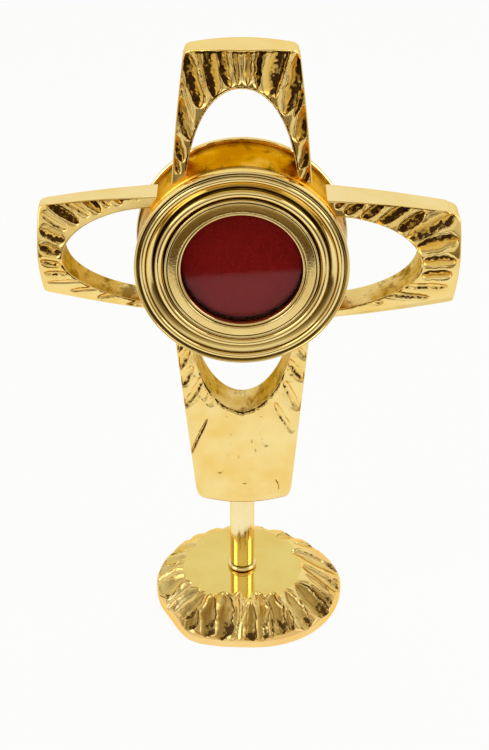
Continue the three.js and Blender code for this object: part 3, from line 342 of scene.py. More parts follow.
def soften(piece, angle=40):
    """Smooth shading that breaks at edges sharper than the angle, in degrees."""
    piece.data.set_sharp_from_angle(angle=math.radians(angle))


def turned(name, profile, materials, axis="Y", centre=HEAD, steps=256, index=None, sharp=40):
    """A turned piece from a closed profile of radius and height, round an axis through the centre."""
    profile = np.asarray(profile, dtype=float)
    angle = np.linspace(0, 2 * math.pi, steps, endpoint=False)
    radius, height = profile[:, 0], profile[:, 1]
    across, up = radius * np.cos(angle)[:, None], radius * np.sin(angle)[:, None]
    flat = np.broadcast_to(height, (steps, len(profile)))
    order = {"X": (flat, across, up), "Y": (across, flat, up), "Z": (across, up, flat)}[axis]
    points = np.stack(order, -1) + np.asarray(centre)
    quads = grid_quads(steps, len(profile), wrap_rows=True, wrap_columns=True)
    faces_index = None if index is None else np.tile(np.asarray(index), steps)
    piece = mesh_piece(name, points.reshape(-1, 3), quads.tolist(), materials, faces_index)
    weld(piece)
    outward(piece)
    soften(piece, sharp)
    return piece


def lofted(name, loops, materials):
    """A closed piece through loops of points, with flat ends."""
    loops = np.asarray(loops, dtype=float)
    rows, columns = loops.shape[:2]
    faces = grid_quads(rows, columns, wrap_columns=True).tolist()
    faces += [list(range(columns)), list(range((rows - 1) * columns, rows * columns))]
    piece = mesh_piece(name, loops.reshape(-1, 3), faces, materials)
    with_normals = bmesh.new()
    with_normals.from_mesh(piece.data)
    bmesh.ops.recalc_face_normals(with_normals, faces=with_normals.faces)
    with_normals.to_mesh(piece.data)
    with_normals.free()
    return piece


def apply_modifiers(piece):
    graph = bpy.context.evaluated_depsgraph_get()
    old = piece.data
    piece.data = bpy.data.meshes.new_from_object(piece.evaluated_get(graph))
    piece.modifiers.clear()
    bpy.data.meshes.remove(old)


def combine(piece, tool, operation):
    """Cuts a closed piece with another or joins the two; the other piece goes away."""
    modifier = piece.modifiers.new("combine", "BOOLEAN")
    modifier.operation = operation
    modifier.solver = "EXACT"
    modifier.object = tool
    apply_modifiers(piece)
    bpy.data.objects.remove(tool)


def drill(piece, radius, low, high, axis="Y", centre=HEAD):
    """Drills a round hole along an axis through the centre, from one height to another."""
    hole = [(0, low), (radius, low), (radius, high), (0, high)]
    combine(piece, turned("cutter", hole, [], axis, centre, steps=48), "DIFFERENCE")


def round_edges(piece, width):
    modifier = piece.modifiers.new("round", "BEVEL")
    modifier.width = width * MM
    modifier.segments = 3
    modifier.limit_method = "ANGLE"
    apply_modifiers(piece)


def arc(centre, radius, start, end, steps):
    """Points of an arc, in a profile of two coordinates, with angles in degrees."""
    turn = np.radians(np.linspace(start, end, steps))
    return [(centre[0] + radius * math.cos(t), centre[1] + radius * math.sin(t)) for t in turn]


def mix(first, last, part):
    return first + (last - first) * part


# Materials

def new_material(name):
    material = bpy.data.materials.new(name)
    material.use_nodes = True
    tree = material.node_tree
    return material, tree, tree.nodes["Principled BSDF"]


def new_gilt(name):
    material, tree, shader = new_material(name)
    shader.inputs["Metallic"].default_value = 1.0
    shader.inputs["Specular Tint"].default_value = EDGE_TINT
    return material, tree, shader


def add_share(tree, name):
    """A value that the mesh carries at its points."""
    node = tree.nodes.new("ShaderNodeAttribute")
    node.attribute_name = name
    return node.outputs["Fac"]


def add_noise(tree, scale, detail=4.0, stretch=(1, 1, 1), roughness=0.5):
    """Noise over the object's own coordinates, in metres, stretched along its axes."""
    coordinates = tree.nodes.new("ShaderNodeTexCoord")
    mapping = tree.nodes.new("ShaderNodeMapping")
    mapping.inputs["Scale"].default_value = stretch
    texture = tree.nodes.new("ShaderNodeTexNoise")
    texture.inputs["Scale"].default_value = scale
    texture.inputs["Detail"].default_value = detail
    texture.inputs["Roughness"].default_value = roughness
    tree.links.new(coordinates.outputs["Object"], mapping.inputs["Vector"])
    tree.links.new(mapping.outputs["Vector"], texture.inputs["Vector"])
    return texture.outputs["Fac"]


def add_ramp(tree, source, stops):
    """A colour ramp from (position, colour) pairs."""
    ramp = tree.nodes.new("ShaderNodeValToRGB")
    elements = ramp.color_ramp.elements
    while len(elements) < len(stops):
        elements.new(0.5)
    for element, (position, colour) in zip(elements, stops):
        element.position = position
        element.color = (*colour, 1)
    tree.links.new(source, ramp.inputs["Fac"])
    return ramp.outputs["Color"]


def add_range(tree, source, low, high, from_low=0.0, from_high=1.0):
    node = tree.nodes.new("ShaderNodeMapRange")
    node.inputs["From Min"].default_value = from_low
    node.inputs["From Max"].default_value = from_high
    node.inputs["To Min"].default_value = low
    node.inputs["To Max"].default_value = high
    tree.links.new(source, node.inputs["Value"])
    return node.outputs["Result"]


def add_math(tree, operation, first, second):
    """A sum on two sockets or numbers."""
    node = tree.nodes.new("ShaderNodeMath")
    node.operation = operation
    for socket, value in zip(node.inputs, (first, second)):
        if isinstance(value, (int, float)):
            socket.default_value = value
        else:
            tree.links.new(value, socket)
    return node.outputs[0]


def add_bump(tree, height, strength, distance):
    bump = tree.nodes.new("ShaderNodeBump")
    bump.inputs["Strength"].default_value = strength
    bump.inputs["Distance"].default_value = distance
    tree.links.new(height, bump.inputs["Height"])
    return bump.outputs["Normal"]


def mix_colour(tree, factor, first, second):
    node = tree.nodes.new("ShaderNodeMix")
    node.data_type = "RGBA"
    tree.links.new(factor, node.inputs["Factor"])
    for socket, colour in ((node.inputs[6], first), (node.inputs[7], second)):
        if isinstance(colour, tuple):
            socket.default_value = (*colour, 1)
        else:
            tree.links.new(colour, socket)
    return node.outputs[2]


def gilt(name, bright, deep, smooth, dull, grain=2600, stretch=(1, 0.12, 0.3), strength=0.12, distance=2e-5):
    """Gilt brass in two tones, with polishing marks as fine as the grain, dark where a line is marked, as
    patina with painted shade.
    """
    material, tree, shader = new_gilt(name)
    tones = add_noise(tree, 90, 3)
    gold = add_ramp(tree, tones, [(0.35, bright), (0.7, deep)])
    # The line share darkens the ring's grooves and recesses: patina together with painted shade
    line = add_share(tree, "line")
    worn = add_range(tree, add_noise(tree, 60, 4), 0.7, 1.2, 0.35, 0.65)
    lined = add_math(tree, "MULTIPLY", line, worn)
    darkness = add_range(tree, lined, 0, 0.94, 0.08, 0.8)
    tree.links.new(mix_colour(tree, darkness, gold, GROOVE_PATINA_AND_SHADE), shader.inputs["Base Color"])
    wear = add_noise(tree, 800, 5)
    tree.links.new(add_range(tree, wear, smooth, dull, 0.3, 0.7), shader.inputs["Roughness"])
    marks = add_noise(tree, grain, 3, stretch)
    tree.links.new(add_bump(tree, marks, strength, distance), shader.inputs["Normal"])
    return material


def gilt_brushed(name, deep, middle, bright, stain_start):
    """Duller orange gilding with file marks and brown stains, of which a lower start gives more."""
    material, tree, shader = new_gilt(name)
    tones = add_noise(tree, 75, 4)
    colour = add_ramp(tree, tones, [(0.36, deep), (0.52, middle), (0.66, bright)])
    blots = add_noise(tree, 210, 5, (1, 0.6, 1), 0.65)
    stains = add_range(tree, blots, 0, 0.8, stain_start, stain_start + 0.14)
    tree.links.new(mix_colour(tree, stains, colour, (0.16, 0.06, 0.008)), shader.inputs["Base Color"])
    grain = add_noise(tree, 1500, 4)
    tree.links.new(add_range(tree, grain, 0.20, 0.38, 0.3, 0.7), shader.inputs["Roughness"])
    marks = add_noise(tree, 1700, 4, (1, 0.12, 1))
    tree.links.new(add_bump(tree, marks, 0.6, 6e-5), shader.inputs["Normal"])
    return material


def gilt_carved(name, bright, deep, shallow, floor, dark):
    """Polished ridges between gouges whose granular floors keep a dark patina; the troughs' deeper, more
    saturated gold is painted shade.
    """
    material, tree, shader = new_gilt(name)
    gouge, rough = add_share(tree, "gouge"), add_share(tree, "rough")
    ridge = add_ramp(tree, add_noise(tree, 110, 3), [(0.35, bright), (0.7, deep)])
    # Painted shade: the deeper a gouge, the deeper and more saturated its gold, standing in for gold-on-gold
    # reflection and low light
    trough_shade = add_ramp(tree, gouge, [(0.25, shallow), (0.8, floor)])
    in_trough = add_range(tree, gouge, 0, 1, 0.05, 0.9)
    gold = mix_colour(tree, in_trough, ridge, trough_shade)
    grains = add_noise(tree, 1700, 4, roughness=0.65)
    blotches = add_noise(tree, 700, 3)
    speckle = add_math(tree, "ADD", grains, blotches)
    worn = add_math(tree, "MULTIPLY", rough, STAIN_STRENGTH)
    stain = add_math(tree, "SUBTRACT", worn, speckle)
    mask = add_range(tree, stain, 0, 0.97, -0.12, 0.5)
    tree.links.new(mix_colour(tree, mask, gold, dark), shader.inputs["Base Color"])
    dull = add_math(tree, "MULTIPLY_ADD", gouge, 0.16)
    dull.node.inputs[2].default_value = 0.2
    tree.links.new(dull, shader.inputs["Roughness"])
    pits = add_math(tree, "MULTIPLY", grains, rough)
    tree.links.new(add_bump(tree, pits, 0.9, 3e-4), shader.inputs["Normal"])
    return material


def set_inputs(shader, **values):
    """Sets plain values on a shader's own sockets; a name's underscores stand for spaces."""
    for name, value in values.items():
        shader.inputs[name.replace("_", " ")].default_value = value


def velvet_red():
    """Dark red velvet with a fine pile."""
    material, tree, shader = new_material("velvet_red")
    weave = add_noise(tree, 2400, 3, (1, 1, 0.5))
    clouds = add_noise(tree, 70, 3)
    base = add_ramp(tree, clouds, [(0.3, (0.22, 0.004, 0.004)), (0.7, (0.30, 0.007, 0.007))])
    thread = add_ramp(tree, weave, [(0.35, (0.17, 0.003, 0.003)), (0.65, (0.36, 0.012, 0.011))])
    blend = add_range(tree, weave, 0.3, 0.5)
    tree.links.new(mix_colour(tree, blend, base, thread), shader.inputs["Base Color"])
    set_inputs(shader, Roughness=0.9, Specular_IOR_Level=0.1, Sheen_Weight=0.15, Sheen_Roughness=0.4)
    set_inputs(shader, Sheen_Tint=(0.7, 0.06, 0.06, 1))
    tree.links.new(add_bump(tree, weave, 0.5, 0.00012), shader.inputs["Normal"])
    return material


def clear_glass():
    """Flat clear glass that passes the light and mirrors a little of the room."""
    material, tree, shader = new_material("clear_glass")
    smears = add_noise(tree, 220, 4)
    set_inputs(shader, Base_Color=(0.98, 1.0, 0.99, 1), IOR=GLASS_IOR, Transmission_Weight=1.0)
    tree.links.new(add_range(tree, smears, 0.0, 0.03), shader.inputs["Roughness"])
    through = tree.nodes.new("ShaderNodeBsdfTransparent")
    path = tree.nodes.new("ShaderNodeLightPath")
    blend = tree.nodes.new("ShaderNodeMixShader")
    tree.links.new(path.outputs["Is Shadow Ray"], blend.inputs["Fac"])
    tree.links.new(shader.outputs["BSDF"], blend.inputs[1])
    tree.links.new(through.outputs["BSDF"], blend.inputs[2])
    tree.links.new(blend.outputs["Shader"], tree.nodes["Material Output"].inputs["Surface"])
    return material


def zinc_steel():
    """Zinc-plated steel of the screws, nut and rod."""
    material, tree, shader = new_material("zinc_steel")
    shader.inputs["Metallic"].default_value = 1.0
    broad = add_noise(tree, 500, 4)
    colour = add_ramp(tree, broad, [(0.3, (0.50, 0.50, 0.49)), (0.7, (0.66, 0.67, 0.68))])
    tree.links.new(colour, shader.inputs["Base Color"])
    tree.links.new(add_range(tree, broad, 0.22, 0.42), shader.inputs["Roughness"])
    marks = add_noise(tree, 2600, 3)
    tree.links.new(add_bump(tree, marks, 0.3, 0.00003), shader.inputs["Normal"])
    return material


EDGE_TINT = (1.0, 0.78, 0.36, 1)  # gold stays gold where it is seen edge on
# Dark of the ring's marked grooves and recesses: partly patina, partly painted shade and dark reflection
GROOVE_PATINA_AND_SHADE = (0.03, 0.012, 0.002)
STAIN_STRENGTH = 1.85
GLASS_IOR = 1.24
POLISHED = gilt("gilt_polished", (0.94, 0.81, 0.46), (0.90, 0.73, 0.35), 0.06, 0.14)
WARM = gilt("gilt_warm", (0.95, 0.66, 0.26), (0.93, 0.60, 0.20), 0.08, 0.16)
# The foot's flat middle: its gilt is its own, and its deeper olive tint is painted reflection of the gold
# parts above it
MIRROR = gilt("gilt_mirror", (0.84, 0.67, 0.22), (0.80, 0.60, 0.17), 0.05, 0.10)
TURNED = gilt("gilt_turned", (0.95, 0.76, 0.34), (0.90, 0.67, 0.25), 0.06, 0.12, 1800, (1, 1, 1))
FROSTED = gilt("gilt_frosted", (0.86, 0.65, 0.26), (0.76, 0.54, 0.18), 0.10, 0.2, 1500, (1, 1, 1), 0.5, 5e-5)
BRUSHED = gilt_brushed("gilt_brushed", (0.50, 0.24, 0.03), (0.66, 0.42, 0.10), (0.82, 0.63, 0.26), 0.47)
# The drum's deep orange is partly its duller brass and partly painted gold-on-gold reflection and shade
ORANGE = gilt_brushed("gilt_orange", (0.54, 0.20, 0.006), (0.70, 0.32, 0.02), (0.86, 0.50, 0.08), 0.51)
# CARVED and SCOOPED: the shallow and floor golds are painted shade in the troughs; the last, dark colour is
# patina
CARVED = gilt_carved(
    "gilt_carved", (0.95, 0.74, 0.30), (0.91, 0.63, 0.18), (0.94, 0.64, 0.15), (0.88, 0.52, 0.08),
    (0.035, 0.012, 0.004),
)
SCOOPED = gilt_carved(
    "gilt_scooped", (0.94, 0.75, 0.33), (0.90, 0.66, 0.22), (0.78, 0.57, 0.16), (0.50, 0.33, 0.08),
    (0.085, 0.040, 0.012),
)
# Painted shade: the glass retainer is coloured near-black red, as the shade at the window's lower edge, in
# place of its own gilding
RETAINER_PAINTED_SHADE = gilt_brushed("gilt_painted_shade", (0.10, 0.008, 0.004), (0.13, 0.012, 0.006), (0.16, 0.02, 0.008), 0.6)
VELVET = velvet_red()
GLASS = clear_glass()
STEEL = zinc_steel()


# Cross casting

STEEP_SIDE = 0.72  # power of a bowl's section; a higher one is gentler
GENTLE_SIDE = 2.6
LINE_PLACE = 0.97  # dark line round a gouge, as a share of its half width
LINE_WIDTH = 0.14


def gouge_field(gouges, along, across, grid, scooped=False):
    """Depth of the gouges at points of a plane, how far each point lies in one, and how dark it is there."""
    depth, inside, dark = np.zeros((3, *along.shape))
    patches = np.clip(0.88 + 0.32 * smooth_noise(grid, along * 1.1 + 11, across * 1.1), 0, 1)
    ragged = 0.35 * smooth_noise(grid, along * 1.3 + 5, across * 1.3)
    for number, (in_angle, in_radius, out_angle, out_radius, half, deep, darkness) in enumerate(gouges):
        turns = np.radians([in_angle, out_angle])
        start, end = np.array([in_radius, out_radius])[:, None] * np.stack([np.cos(turns), np.sin(turns)], -1)
        length = np.hypot(*(end - start))
        lengthwise = (end - start) / length
        run = ((along - start[0]) * lengthwise[0] + (across - start[1]) * lengthwise[1]) / length
        aside = (across - start[1]) * lengthwise[0] - (along - start[0]) * lengthwise[1]
        lane = np.full_like(run, number * 3.7)
        aside = aside + 0.2 * half * smooth_noise(grid, run * length * 0.3, lane)
        if scooped:
            taper = np.clip(run / 0.4, 0, 1) ** 0.55 * np.sqrt(1 - np.clip((run - 0.8) / 0.2, 0, 1) ** 2)
        else:
            taper = np.sqrt(np.clip(1 - np.abs(2 * run - 1) ** 3.2, 0, 1))
        width = half * taper * (1 + 0.12 * smooth_noise(grid, run * length * 0.8, lane + 20.5))
        share = aside / np.maximum(width, 1e-3) * (1 if darkness >= 0 else -1)
        size = np.abs(share)
        roughness = abs(darkness)
        steepness = np.where(share > 0, STEEP_SIDE, mix(GENTLE_SIDE, STEEP_SIDE, roughness))
        bowl = np.clip(1 - size ** 2, 0, 1) ** steepness * (taper > 0)
        shoulder = (1 - np.clip((size - 1) / 0.9, 0, 1) ** 2) ** 2
        lean = 1 + 0.35 * np.clip(share, -1, 1)
        streaks = smooth_noise(grid, share * 2.4 + number * 5.3, run * length * 0.16)
        cut = 0.3 * shoulder + bowl * (0.7 * lean + 0.09 * streaks)
        depth = np.maximum(depth, deep * np.sqrt(taper) * cut)
        inside = np.maximum(inside, np.sqrt(bowl) * min(deep, 1) * roughness)
        edge = mix(0.85, -0.45, roughness)
        dark_side = np.clip((share + ragged - edge) / 0.45, 0, 1) * min(1, 5 * roughness)
        floor_dark = dark_side * np.clip(bowl * 2.2, 0, 1) * patches
        if scooped:
            floor_dark = floor_dark * np.clip((run - 0.35) / 0.4, 0, 1)
        one_sided = mix(-0.3, 0.8, roughness) + mix(0.8, 0.3, roughness) * share + ragged
        line = np.exp(-((size - LINE_PLACE) / LINE_WIDTH) ** 2) * np.clip(one_sided, 0, 1) * (taper > 0.3)
        line = line * (0.75 + 0.25 * roughness) * min(1, 0.3 + deep)
        dark = np.maximum(dark, np.maximum(floor_dark, line))
    return depth, inside, dark


def ragged_line(distance, place, span_round, grid):
    """Strength of a ragged line beside an edge, over part of the way round an arm."""
    first, last, centre, half = span_round
    fade = np.clip(np.minimum(place - first, last - place) / 0.06, 0, 1)
    waver = smooth_noise(grid, place * 26, np.full_like(place, 9.3))
    waver = waver + 0.4 * smooth_noise(grid, place * 80, distance)
    width = half * (1 + 0.5 * waver)
    section = np.exp(-((distance - centre - 0.15 * waver) / width) ** 4)
    return fade * section * np.clip(0.9 + 0.5 * waver, 0, 1)


def arm_front(arm, along, across, from_arch, from_rim, place_round, grid):
    """Y of an arm's pillowed and gouged front, with the gouge and darkness shares."""
    part = np.clip((along - ARM_ROOT) / (arm["reach"] - arm["bow"] - ARM_ROOT), 0, 1.05)
    side = mix(arm["root_half"], arm["tip_half"], part)
    share = np.clip(np.abs(across) / side, 0, 1.02)
    crown = mix(PLATE_FRONT, arm["tip_crown"], part ** 3)
    shoulder = mix(arm["root_shoulder"], arm["tip_shoulder"], part)
    y = mix(crown, shoulder, share ** CROWN_POWER)
    depth, inside, dark = gouge_field(arm["gouges"], along, across, grid)
    free = np.clip((from_rim - 0.35) / 0.7, 0, 1) * np.clip((from_arch - 0.2) / 0.6, 0, 1)
    depth, inside, dark = depth * free, inside * free, dark * free
    # Painted shade with patina: each line cuts a shallow groove and darkens it
    for distance, key in ((from_arch, "arch_line"), (from_rim, "rim_line")):
        line = ragged_line(distance, place_round, arm[key], grid)
        depth = np.maximum(depth, 0.45 * line)
        inside = np.maximum(inside, line)
        dark = np.maximum(dark, line)
    grain = 0.13 * smooth_noise(grid, along * 1.7, across * 1.7)
    grain = grain + 0.09 * smooth_noise(grid, along * 3.3, across * 3.3)
    angle = np.degrees(np.arctan2(across, along))
    radius = np.hypot(along, across)
    waves = arm["waves"] * smooth_noise(grid, angle * 0.28 + 3, radius * 0.035)
    ripple = 0.05 * smooth_noise(grid, along * 0.3 + 7, across * 0.3)
    return y + depth + grain * dark + waves + ripple + 0.1, inside, np.clip(dark, 0, 1)


def arm_outline(arm, corner, steps):
    """Half of an arm's outline: from the middle of its tip round the corner, and on to its root."""
    end = arm["reach"] - arm["bow"]
    flat = arm["tip_half"] - corner
    across = np.linspace(0, flat, steps)
    tip = np.stack([end + arm["bow"] * (1 - (across / arm["tip_half"]) ** 2), across], -1)
    turn = np.radians(np.linspace(90, 0, steps // 3))[1:]
    corner_along = tip[-1, 0] - corner + corner * np.sin(turn)
    corner_points = np.stack([corner_along, flat + corner * np.cos(turn)], -1)
    along = np.linspace(corner_points[-1, 0], ARM_ROOT, steps)[1:]
    part = (along - ARM_ROOT) / (end - ARM_ROOT)
    swell = arm["bulge"] * np.sin(math.pi * np.clip(part, 0, 1))
    side = np.stack([along, mix(arm["root_half"], arm["tip_half"], part) + swell], -1)
    return np.concatenate([tip, corner_points]), np.concatenate([corner_points[-1:], side])


def resample(points, shares):
    """Points at the given shares of a polyline's length."""
    steps = np.hypot(*np.diff(points, axis=0).T)
    length = np.concatenate([[0], np.cumsum(steps)])
    wanted = np.asarray(shares) * length[-1]
    return np.stack([np.interp(wanted, length, points[:, k]) for k in (0, 1)], -1)


def arm_piece(name, arm, rounds=480):
    """One arm as a closed section carried round its arch, with a finely gouged front."""
    grid = noise_grid(arm["angle"] + 5)
    v = np.linspace(-1, 1, rounds)
    turn = np.radians(OPENING_END_ANGLE) * v
    inner = np.stack([
        OPENING_CENTRE + OPENING_LENGTH * np.cos(turn),
        OPENING_HALF_WIDTH * np.sin(turn),
    ], -1)
    outer = np.empty_like(inner)
    size = np.abs(v)
    for sign, corner in zip((-1, 1), arm["corners"]):
        tip, side = arm_outline(arm, corner, 90)
        on_tip = (size <= CORNER_SHARE) & (v * sign >= 0)
        on_side = (size > CORNER_SHARE) & (v * sign >= 0)
        outer[on_tip] = resample(tip, size[on_tip] / CORNER_SHARE) * (1, sign)
        outer[on_side] = resample(side, (size[on_side] - CORNER_SHARE) / (1 - CORNER_SHARE)) * (1, sign)
    # On upright arms a shift is to the right, on side arms upwards
    slant = {90: -1, 270: 1, 0: 1, 180: -1}[arm["angle"]]
    inner[:, 1] += slant * arm["opening_shift"]
    part = np.clip((outer[:, 0] - ARM_ROOT) / (arm["reach"] - ARM_ROOT), 0, 1)
    outer[:, 1] += slant * mix(arm["root_shift"], arm["tip_shift"], part)

    width = np.hypot(*(outer - inner).T)
    direction = (outer - inner) / width[:, None]
    quarter = np.linspace(0, math.pi / 2, EDGE_STEPS + 1)
    rise_in, drop_in = EDGE_IN * (1 - np.cos(quarter)), EDGE_IN * (1 - np.sin(quarter))
    rise_out, drop_out = EDGE_OUT * (1 - np.cos(quarter))[::-1], EDGE_OUT * (1 - np.sin(quarter))[::-1]
    middle = np.linspace(0, 1, arm["across"] + 2)[1:-1]
    front_place = np.concatenate([
        np.broadcast_to(rise_in, (rounds, len(rise_in))),
        EDGE_IN + (width[:, None] - EDGE_IN - EDGE_OUT) * middle,
        width[:, None] - rise_out,
    ], 1)
    edge_drop = np.concatenate([drop_in, np.zeros(len(middle)), drop_out])
    place = inner[:, None, :] + direction[:, None, :] * front_place[..., None]
    place_round = np.broadcast_to(v[:, None], front_place.shape)
    from_rim = width[:, None] - front_place
    y, gouge, rough = arm_front(arm, place[..., 0], place[..., 1], front_place, from_rim, place_round, grid)
    y = y + edge_drop

    def wall(at, from_y, to_y, count):
        """Points down a wall at one distance from the arch, from one Y to another."""
        shares = np.linspace(0, 1, count + 2)[1:-1]
        spots = inner + direction * np.broadcast_to(at, (rounds,))[:, None]
        spots = np.repeat(spots[:, None, :], count, 1)
        return spots, from_y[:, None] + (to_y - from_y[:, None]) * shares

    out_wall, out_y = wall(width, y[:, -1], PLATE_BACK - EDGE_BACK, 6)
    in_wall, in_y = wall(np.zeros(rounds), y[:, 0], PLATE_BACK - EDGE_BACK, 10)
    back_in = EDGE_BACK * (1 - np.cos(quarter))
    back_y = PLATE_BACK - EDGE_BACK + EDGE_BACK * np.sin(quarter)
    back_place = np.concatenate([
        width[:, None] - back_in,
        width[:, None] * np.array([0.75, 0.5, 0.25]),
        np.broadcast_to(back_in[::-1], (rounds, len(back_in))),
    ], 1)
    back = inner[:, None, :] + direction[:, None, :] * back_place[..., None]
    back_ys = np.concatenate([back_y, [PLATE_BACK] * 3, back_y[::-1]])
    back_ys = np.broadcast_to(back_ys, (rounds, back.shape[1]))

    local = np.concatenate([place, out_wall, back, in_wall[:, ::-1]], 1)
    ys = np.concatenate([y, out_y, back_ys, in_y[:, ::-1]], 1)
    columns = local.shape[1]
    axis = math.radians(arm["angle"])
    along, across = local[..., 0], local[..., 1]
    x = along * math.cos(axis) - across * math.sin(axis)
    z = AXIS_Z + along * math.sin(axis) + across * math.cos(axis)
    points = np.stack([x, ys, z], -1).reshape(-1, 3)
    faces = grid_quads(rounds, columns, wrap_columns=True).tolist()
    front_count, out_count, back_count = place.shape[1] - 1, out_wall.shape[1] + 1, back.shape[1] - 1
    kinds = np.concatenate([
        np.full(front_count, 0),
        np.full(out_count + back_count, 1),
        np.full(columns - front_count - out_count - back_count, 2),
    ])
    kinds = np.tile(kinds, rounds - 1)
    faces += [list(range(columns)), list(range((rounds - 1) * columns, rounds * columns))]
    piece = mesh_piece(name, points, faces, [CARVED, POLISHED, BRUSHED], np.concatenate([kinds, [1, 1]]))
    add_front_shares(piece, columns, gouge, rough)
    outward(piece)
    soften(piece, 50)
    return piece


for key, arm in ARMS.items():
    settle(arm_piece("arm_" + key, arm), "frame", "gilt_brass", "cross_body")


SCREW_HOLE = 1.55
SCREW_HEAD_GAP = 0.3
SCREW_HEAD_DEPTH = 1.3


def ring_screw_cutter(node):
    """A countersunk hole in the drum's front wall for one of the ring's screws."""
    low, high = span(node)
    centre = ((low[0] + high[0]) / 2, 0, (low[2] + high[2]) / 2)
    head = (high[0] - low[0]) / 2 + SCREW_HEAD_GAP
    profile = [(0, DRUM_FRONT - 1), (SCREW_HOLE, DRUM_FRONT - 1)]
    profile += [(SCREW_HOLE, WEB_BACK - SCREW_HEAD_DEPTH), (head, WEB_BACK)]
    profile += [(head, WEB_BACK + 1), (0, WEB_BACK + 1)]
    return turned("cutter", profile, [BRUSHED], centre=centre, steps=32)


def drum_piece():
    """The round drum behind the ring, with its bore, front wall, the clip's groove and the catch's slot."""
    groove_front, groove_back = WEB_BACK + 1.4, WEB_BACK + 2.8
    profile = [
        (WEB_HOLE, DRUM_FRONT + 0.2), (WEB_HOLE + 0.2, DRUM_FRONT), (DRUM_RADIUS - 0.4, DRUM_FRONT),
        (DRUM_RADIUS, DRUM_FRONT + 0.4), (DRUM_RADIUS, -4), (DRUM_RADIUS, 0), (DRUM_RADIUS, 4),
        (DRUM_RADIUS, DRUM_BACK - 0.5), (DRUM_RADIUS - 0.15, DRUM_BACK - 0.15),
        (DRUM_RADIUS - 0.5, DRUM_BACK), (BORE_RADIUS + 0.3, DRUM_BACK),
        (BORE_RADIUS, DRUM_BACK - 0.3), (BORE_RADIUS, groove_back),
        (BORE_RADIUS + 1.1, groove_back), (BORE_RADIUS + 1.1, groove_front), (BORE_RADIUS, groove_front),
        (BORE_RADIUS, WEB_BACK), (WEB_HOLE, WEB_BACK),
    ]
    piece = turned("drum", profile, [ORANGE], steps=192)
    low, high = AXIS_Z + BORE_RADIUS - 2, AXIS_Z + SLOT_TOP
    half = SLOT_HALF_WIDTH
    outline = [(-half, low), (half, low), (half, high), (-half, high)]
    loops = [[(x, y, z) for x, z in outline] for y in (SLOT_FRONT, SLOT_BACK)]
    combine(piece, lofted("cutter", loops, [ORANGE]), "DIFFERENCE")
    for node in ("ring_screw_1", "ring_screw_2", "ring_screw_3"):
        combine(piece, ring_screw_cutter(node), "DIFFERENCE")
    soften(piece, 35)
    return piece


settle(drum_piece(), "frame", "gilt_brass", "cross_body")


# Front ring

def ring_profile():
    """Mouldings from the ring's edge to the window: radius, height above its front and how dark they are
    painted, as patina with painted shade in the grooves and recesses.
    """
    outer = RING_RADIUS
    profile = [(RING_NECK, -3.9, 0.7), (RING_NECK, -2.7, 0.7), (outer - 0.1, -2.5, 0.2), (outer, -2.3, 0)]
    profile += [(*point, 0) for point in arc((outer - 0.3, 0.0), 0.3, 0, 90, 5)]
    profile += [(31.8, 0.2, 0), (31.6, -0.1, 0.5), (31.35, -0.5, 1), (31.1, -0.5, 0.9), (30.85, -0.3, 0.2)]
    profile += [(*point, 0) for point in arc((29.85, -0.3), 0.92, 4, 176, 15)]
    profile += [(28.85, -0.5, 0.8), (28.6, -0.75, 0.3), (28.2, -1.0, 0), (27.7, -1.2, 0)]
    profile += [(27.2, -1.35, 0.3), (26.9, -1.45, 0.9), (26.65, -1.55, 1), (26.4, -1.3, 0.9)]
    profile += [(*point, 0) for point in arc((25.15, -0.5), 1.15, -14, 186, 18)]
    profile += [(23.85, -0.7, 0.8), (23.55, -0.8, 1), (23.35, -0.5, 0.7)]
    profile += [(*point, 0) for point in arc((22.9, 0.05), 0.36, -10, 170, 9)]
    profile += [(22.48, 0.0, 0.9), (22.38, 0.05, 1)]
    band_start = len(profile)
    profile += [(22.28, 0.35, 0.6), (22.1, 0.42, 0), (21.3, 0.55, 0), (20.4, 0.7, 0), (19.6, 0.82, 0)]
    band_end = len(profile) - 1
    profile += [(19.45, 0.78, 0), (19.32, 0.45, 0.4), (19.24, 0.15, 0.9), (19.16, 0.1, 0.6)]
    profile += [(*point, 0) for point in arc((18.76, -0.05), 0.42, 20, 165, 9)]
    profile += [(WINDOW_RADIUS, -0.25, 0), (WINDOW_RADIUS, -0.6, 0.1), (WINDOW_RADIUS, -1.2, 0.6)]
    return profile, band_start, band_end


def ring_piece(steps=360):
    front = RING_BACK - RING_EDGE_DEPTH
    mouldings, band_start, band_end = ring_profile()
    visible = [(radius, front - height) for radius, height, _ in mouldings]
    glass_seat = glass_low[1] - GLASS_GAP
    rebate = (glass_high[0] - glass_low[0]) / 2 + GLASS_GAP
    spigot = rebate + SPIGOT_WALL
    hidden = [
        (WINDOW_RADIUS, glass_seat), (rebate, glass_seat), (rebate, ring_high[1]), (spigot, ring_high[1]),
        (spigot, RING_BACK), (RING_NECK, RING_BACK),
    ]
    kinds = np.zeros(len(visible) + len(hidden))
    kinds[band_start:band_end] = 1
    piece = turned("ring", visible + hidden, [TURNED, FROSTED], steps=steps, index=kinds, sharp=60)
    lines = [dark for _, _, dark in mouldings] + [0] * len(hidden)
    add_attribute(piece, "line", np.tile(lines, steps))
    return piece


settle(ring_piece(), "frame", "gilt_brass", "front_ring")


# Glass, its retainer, the capsule and the velvet

def glass_piece():
    radius = (glass_high[0] - glass_low[0]) / 2
    front, back = glass_low[1], glass_high[1]
    edge = 0.15
    profile = [(0, front), (radius - edge, front), (radius, front + edge), (radius, back - edge)]
    profile += [(radius - edge, back), (0, back)]
    return turned("window_glass", profile, [GLASS], steps=128, sharp=20)


settle(glass_piece(), "frame", "glass", "glass")


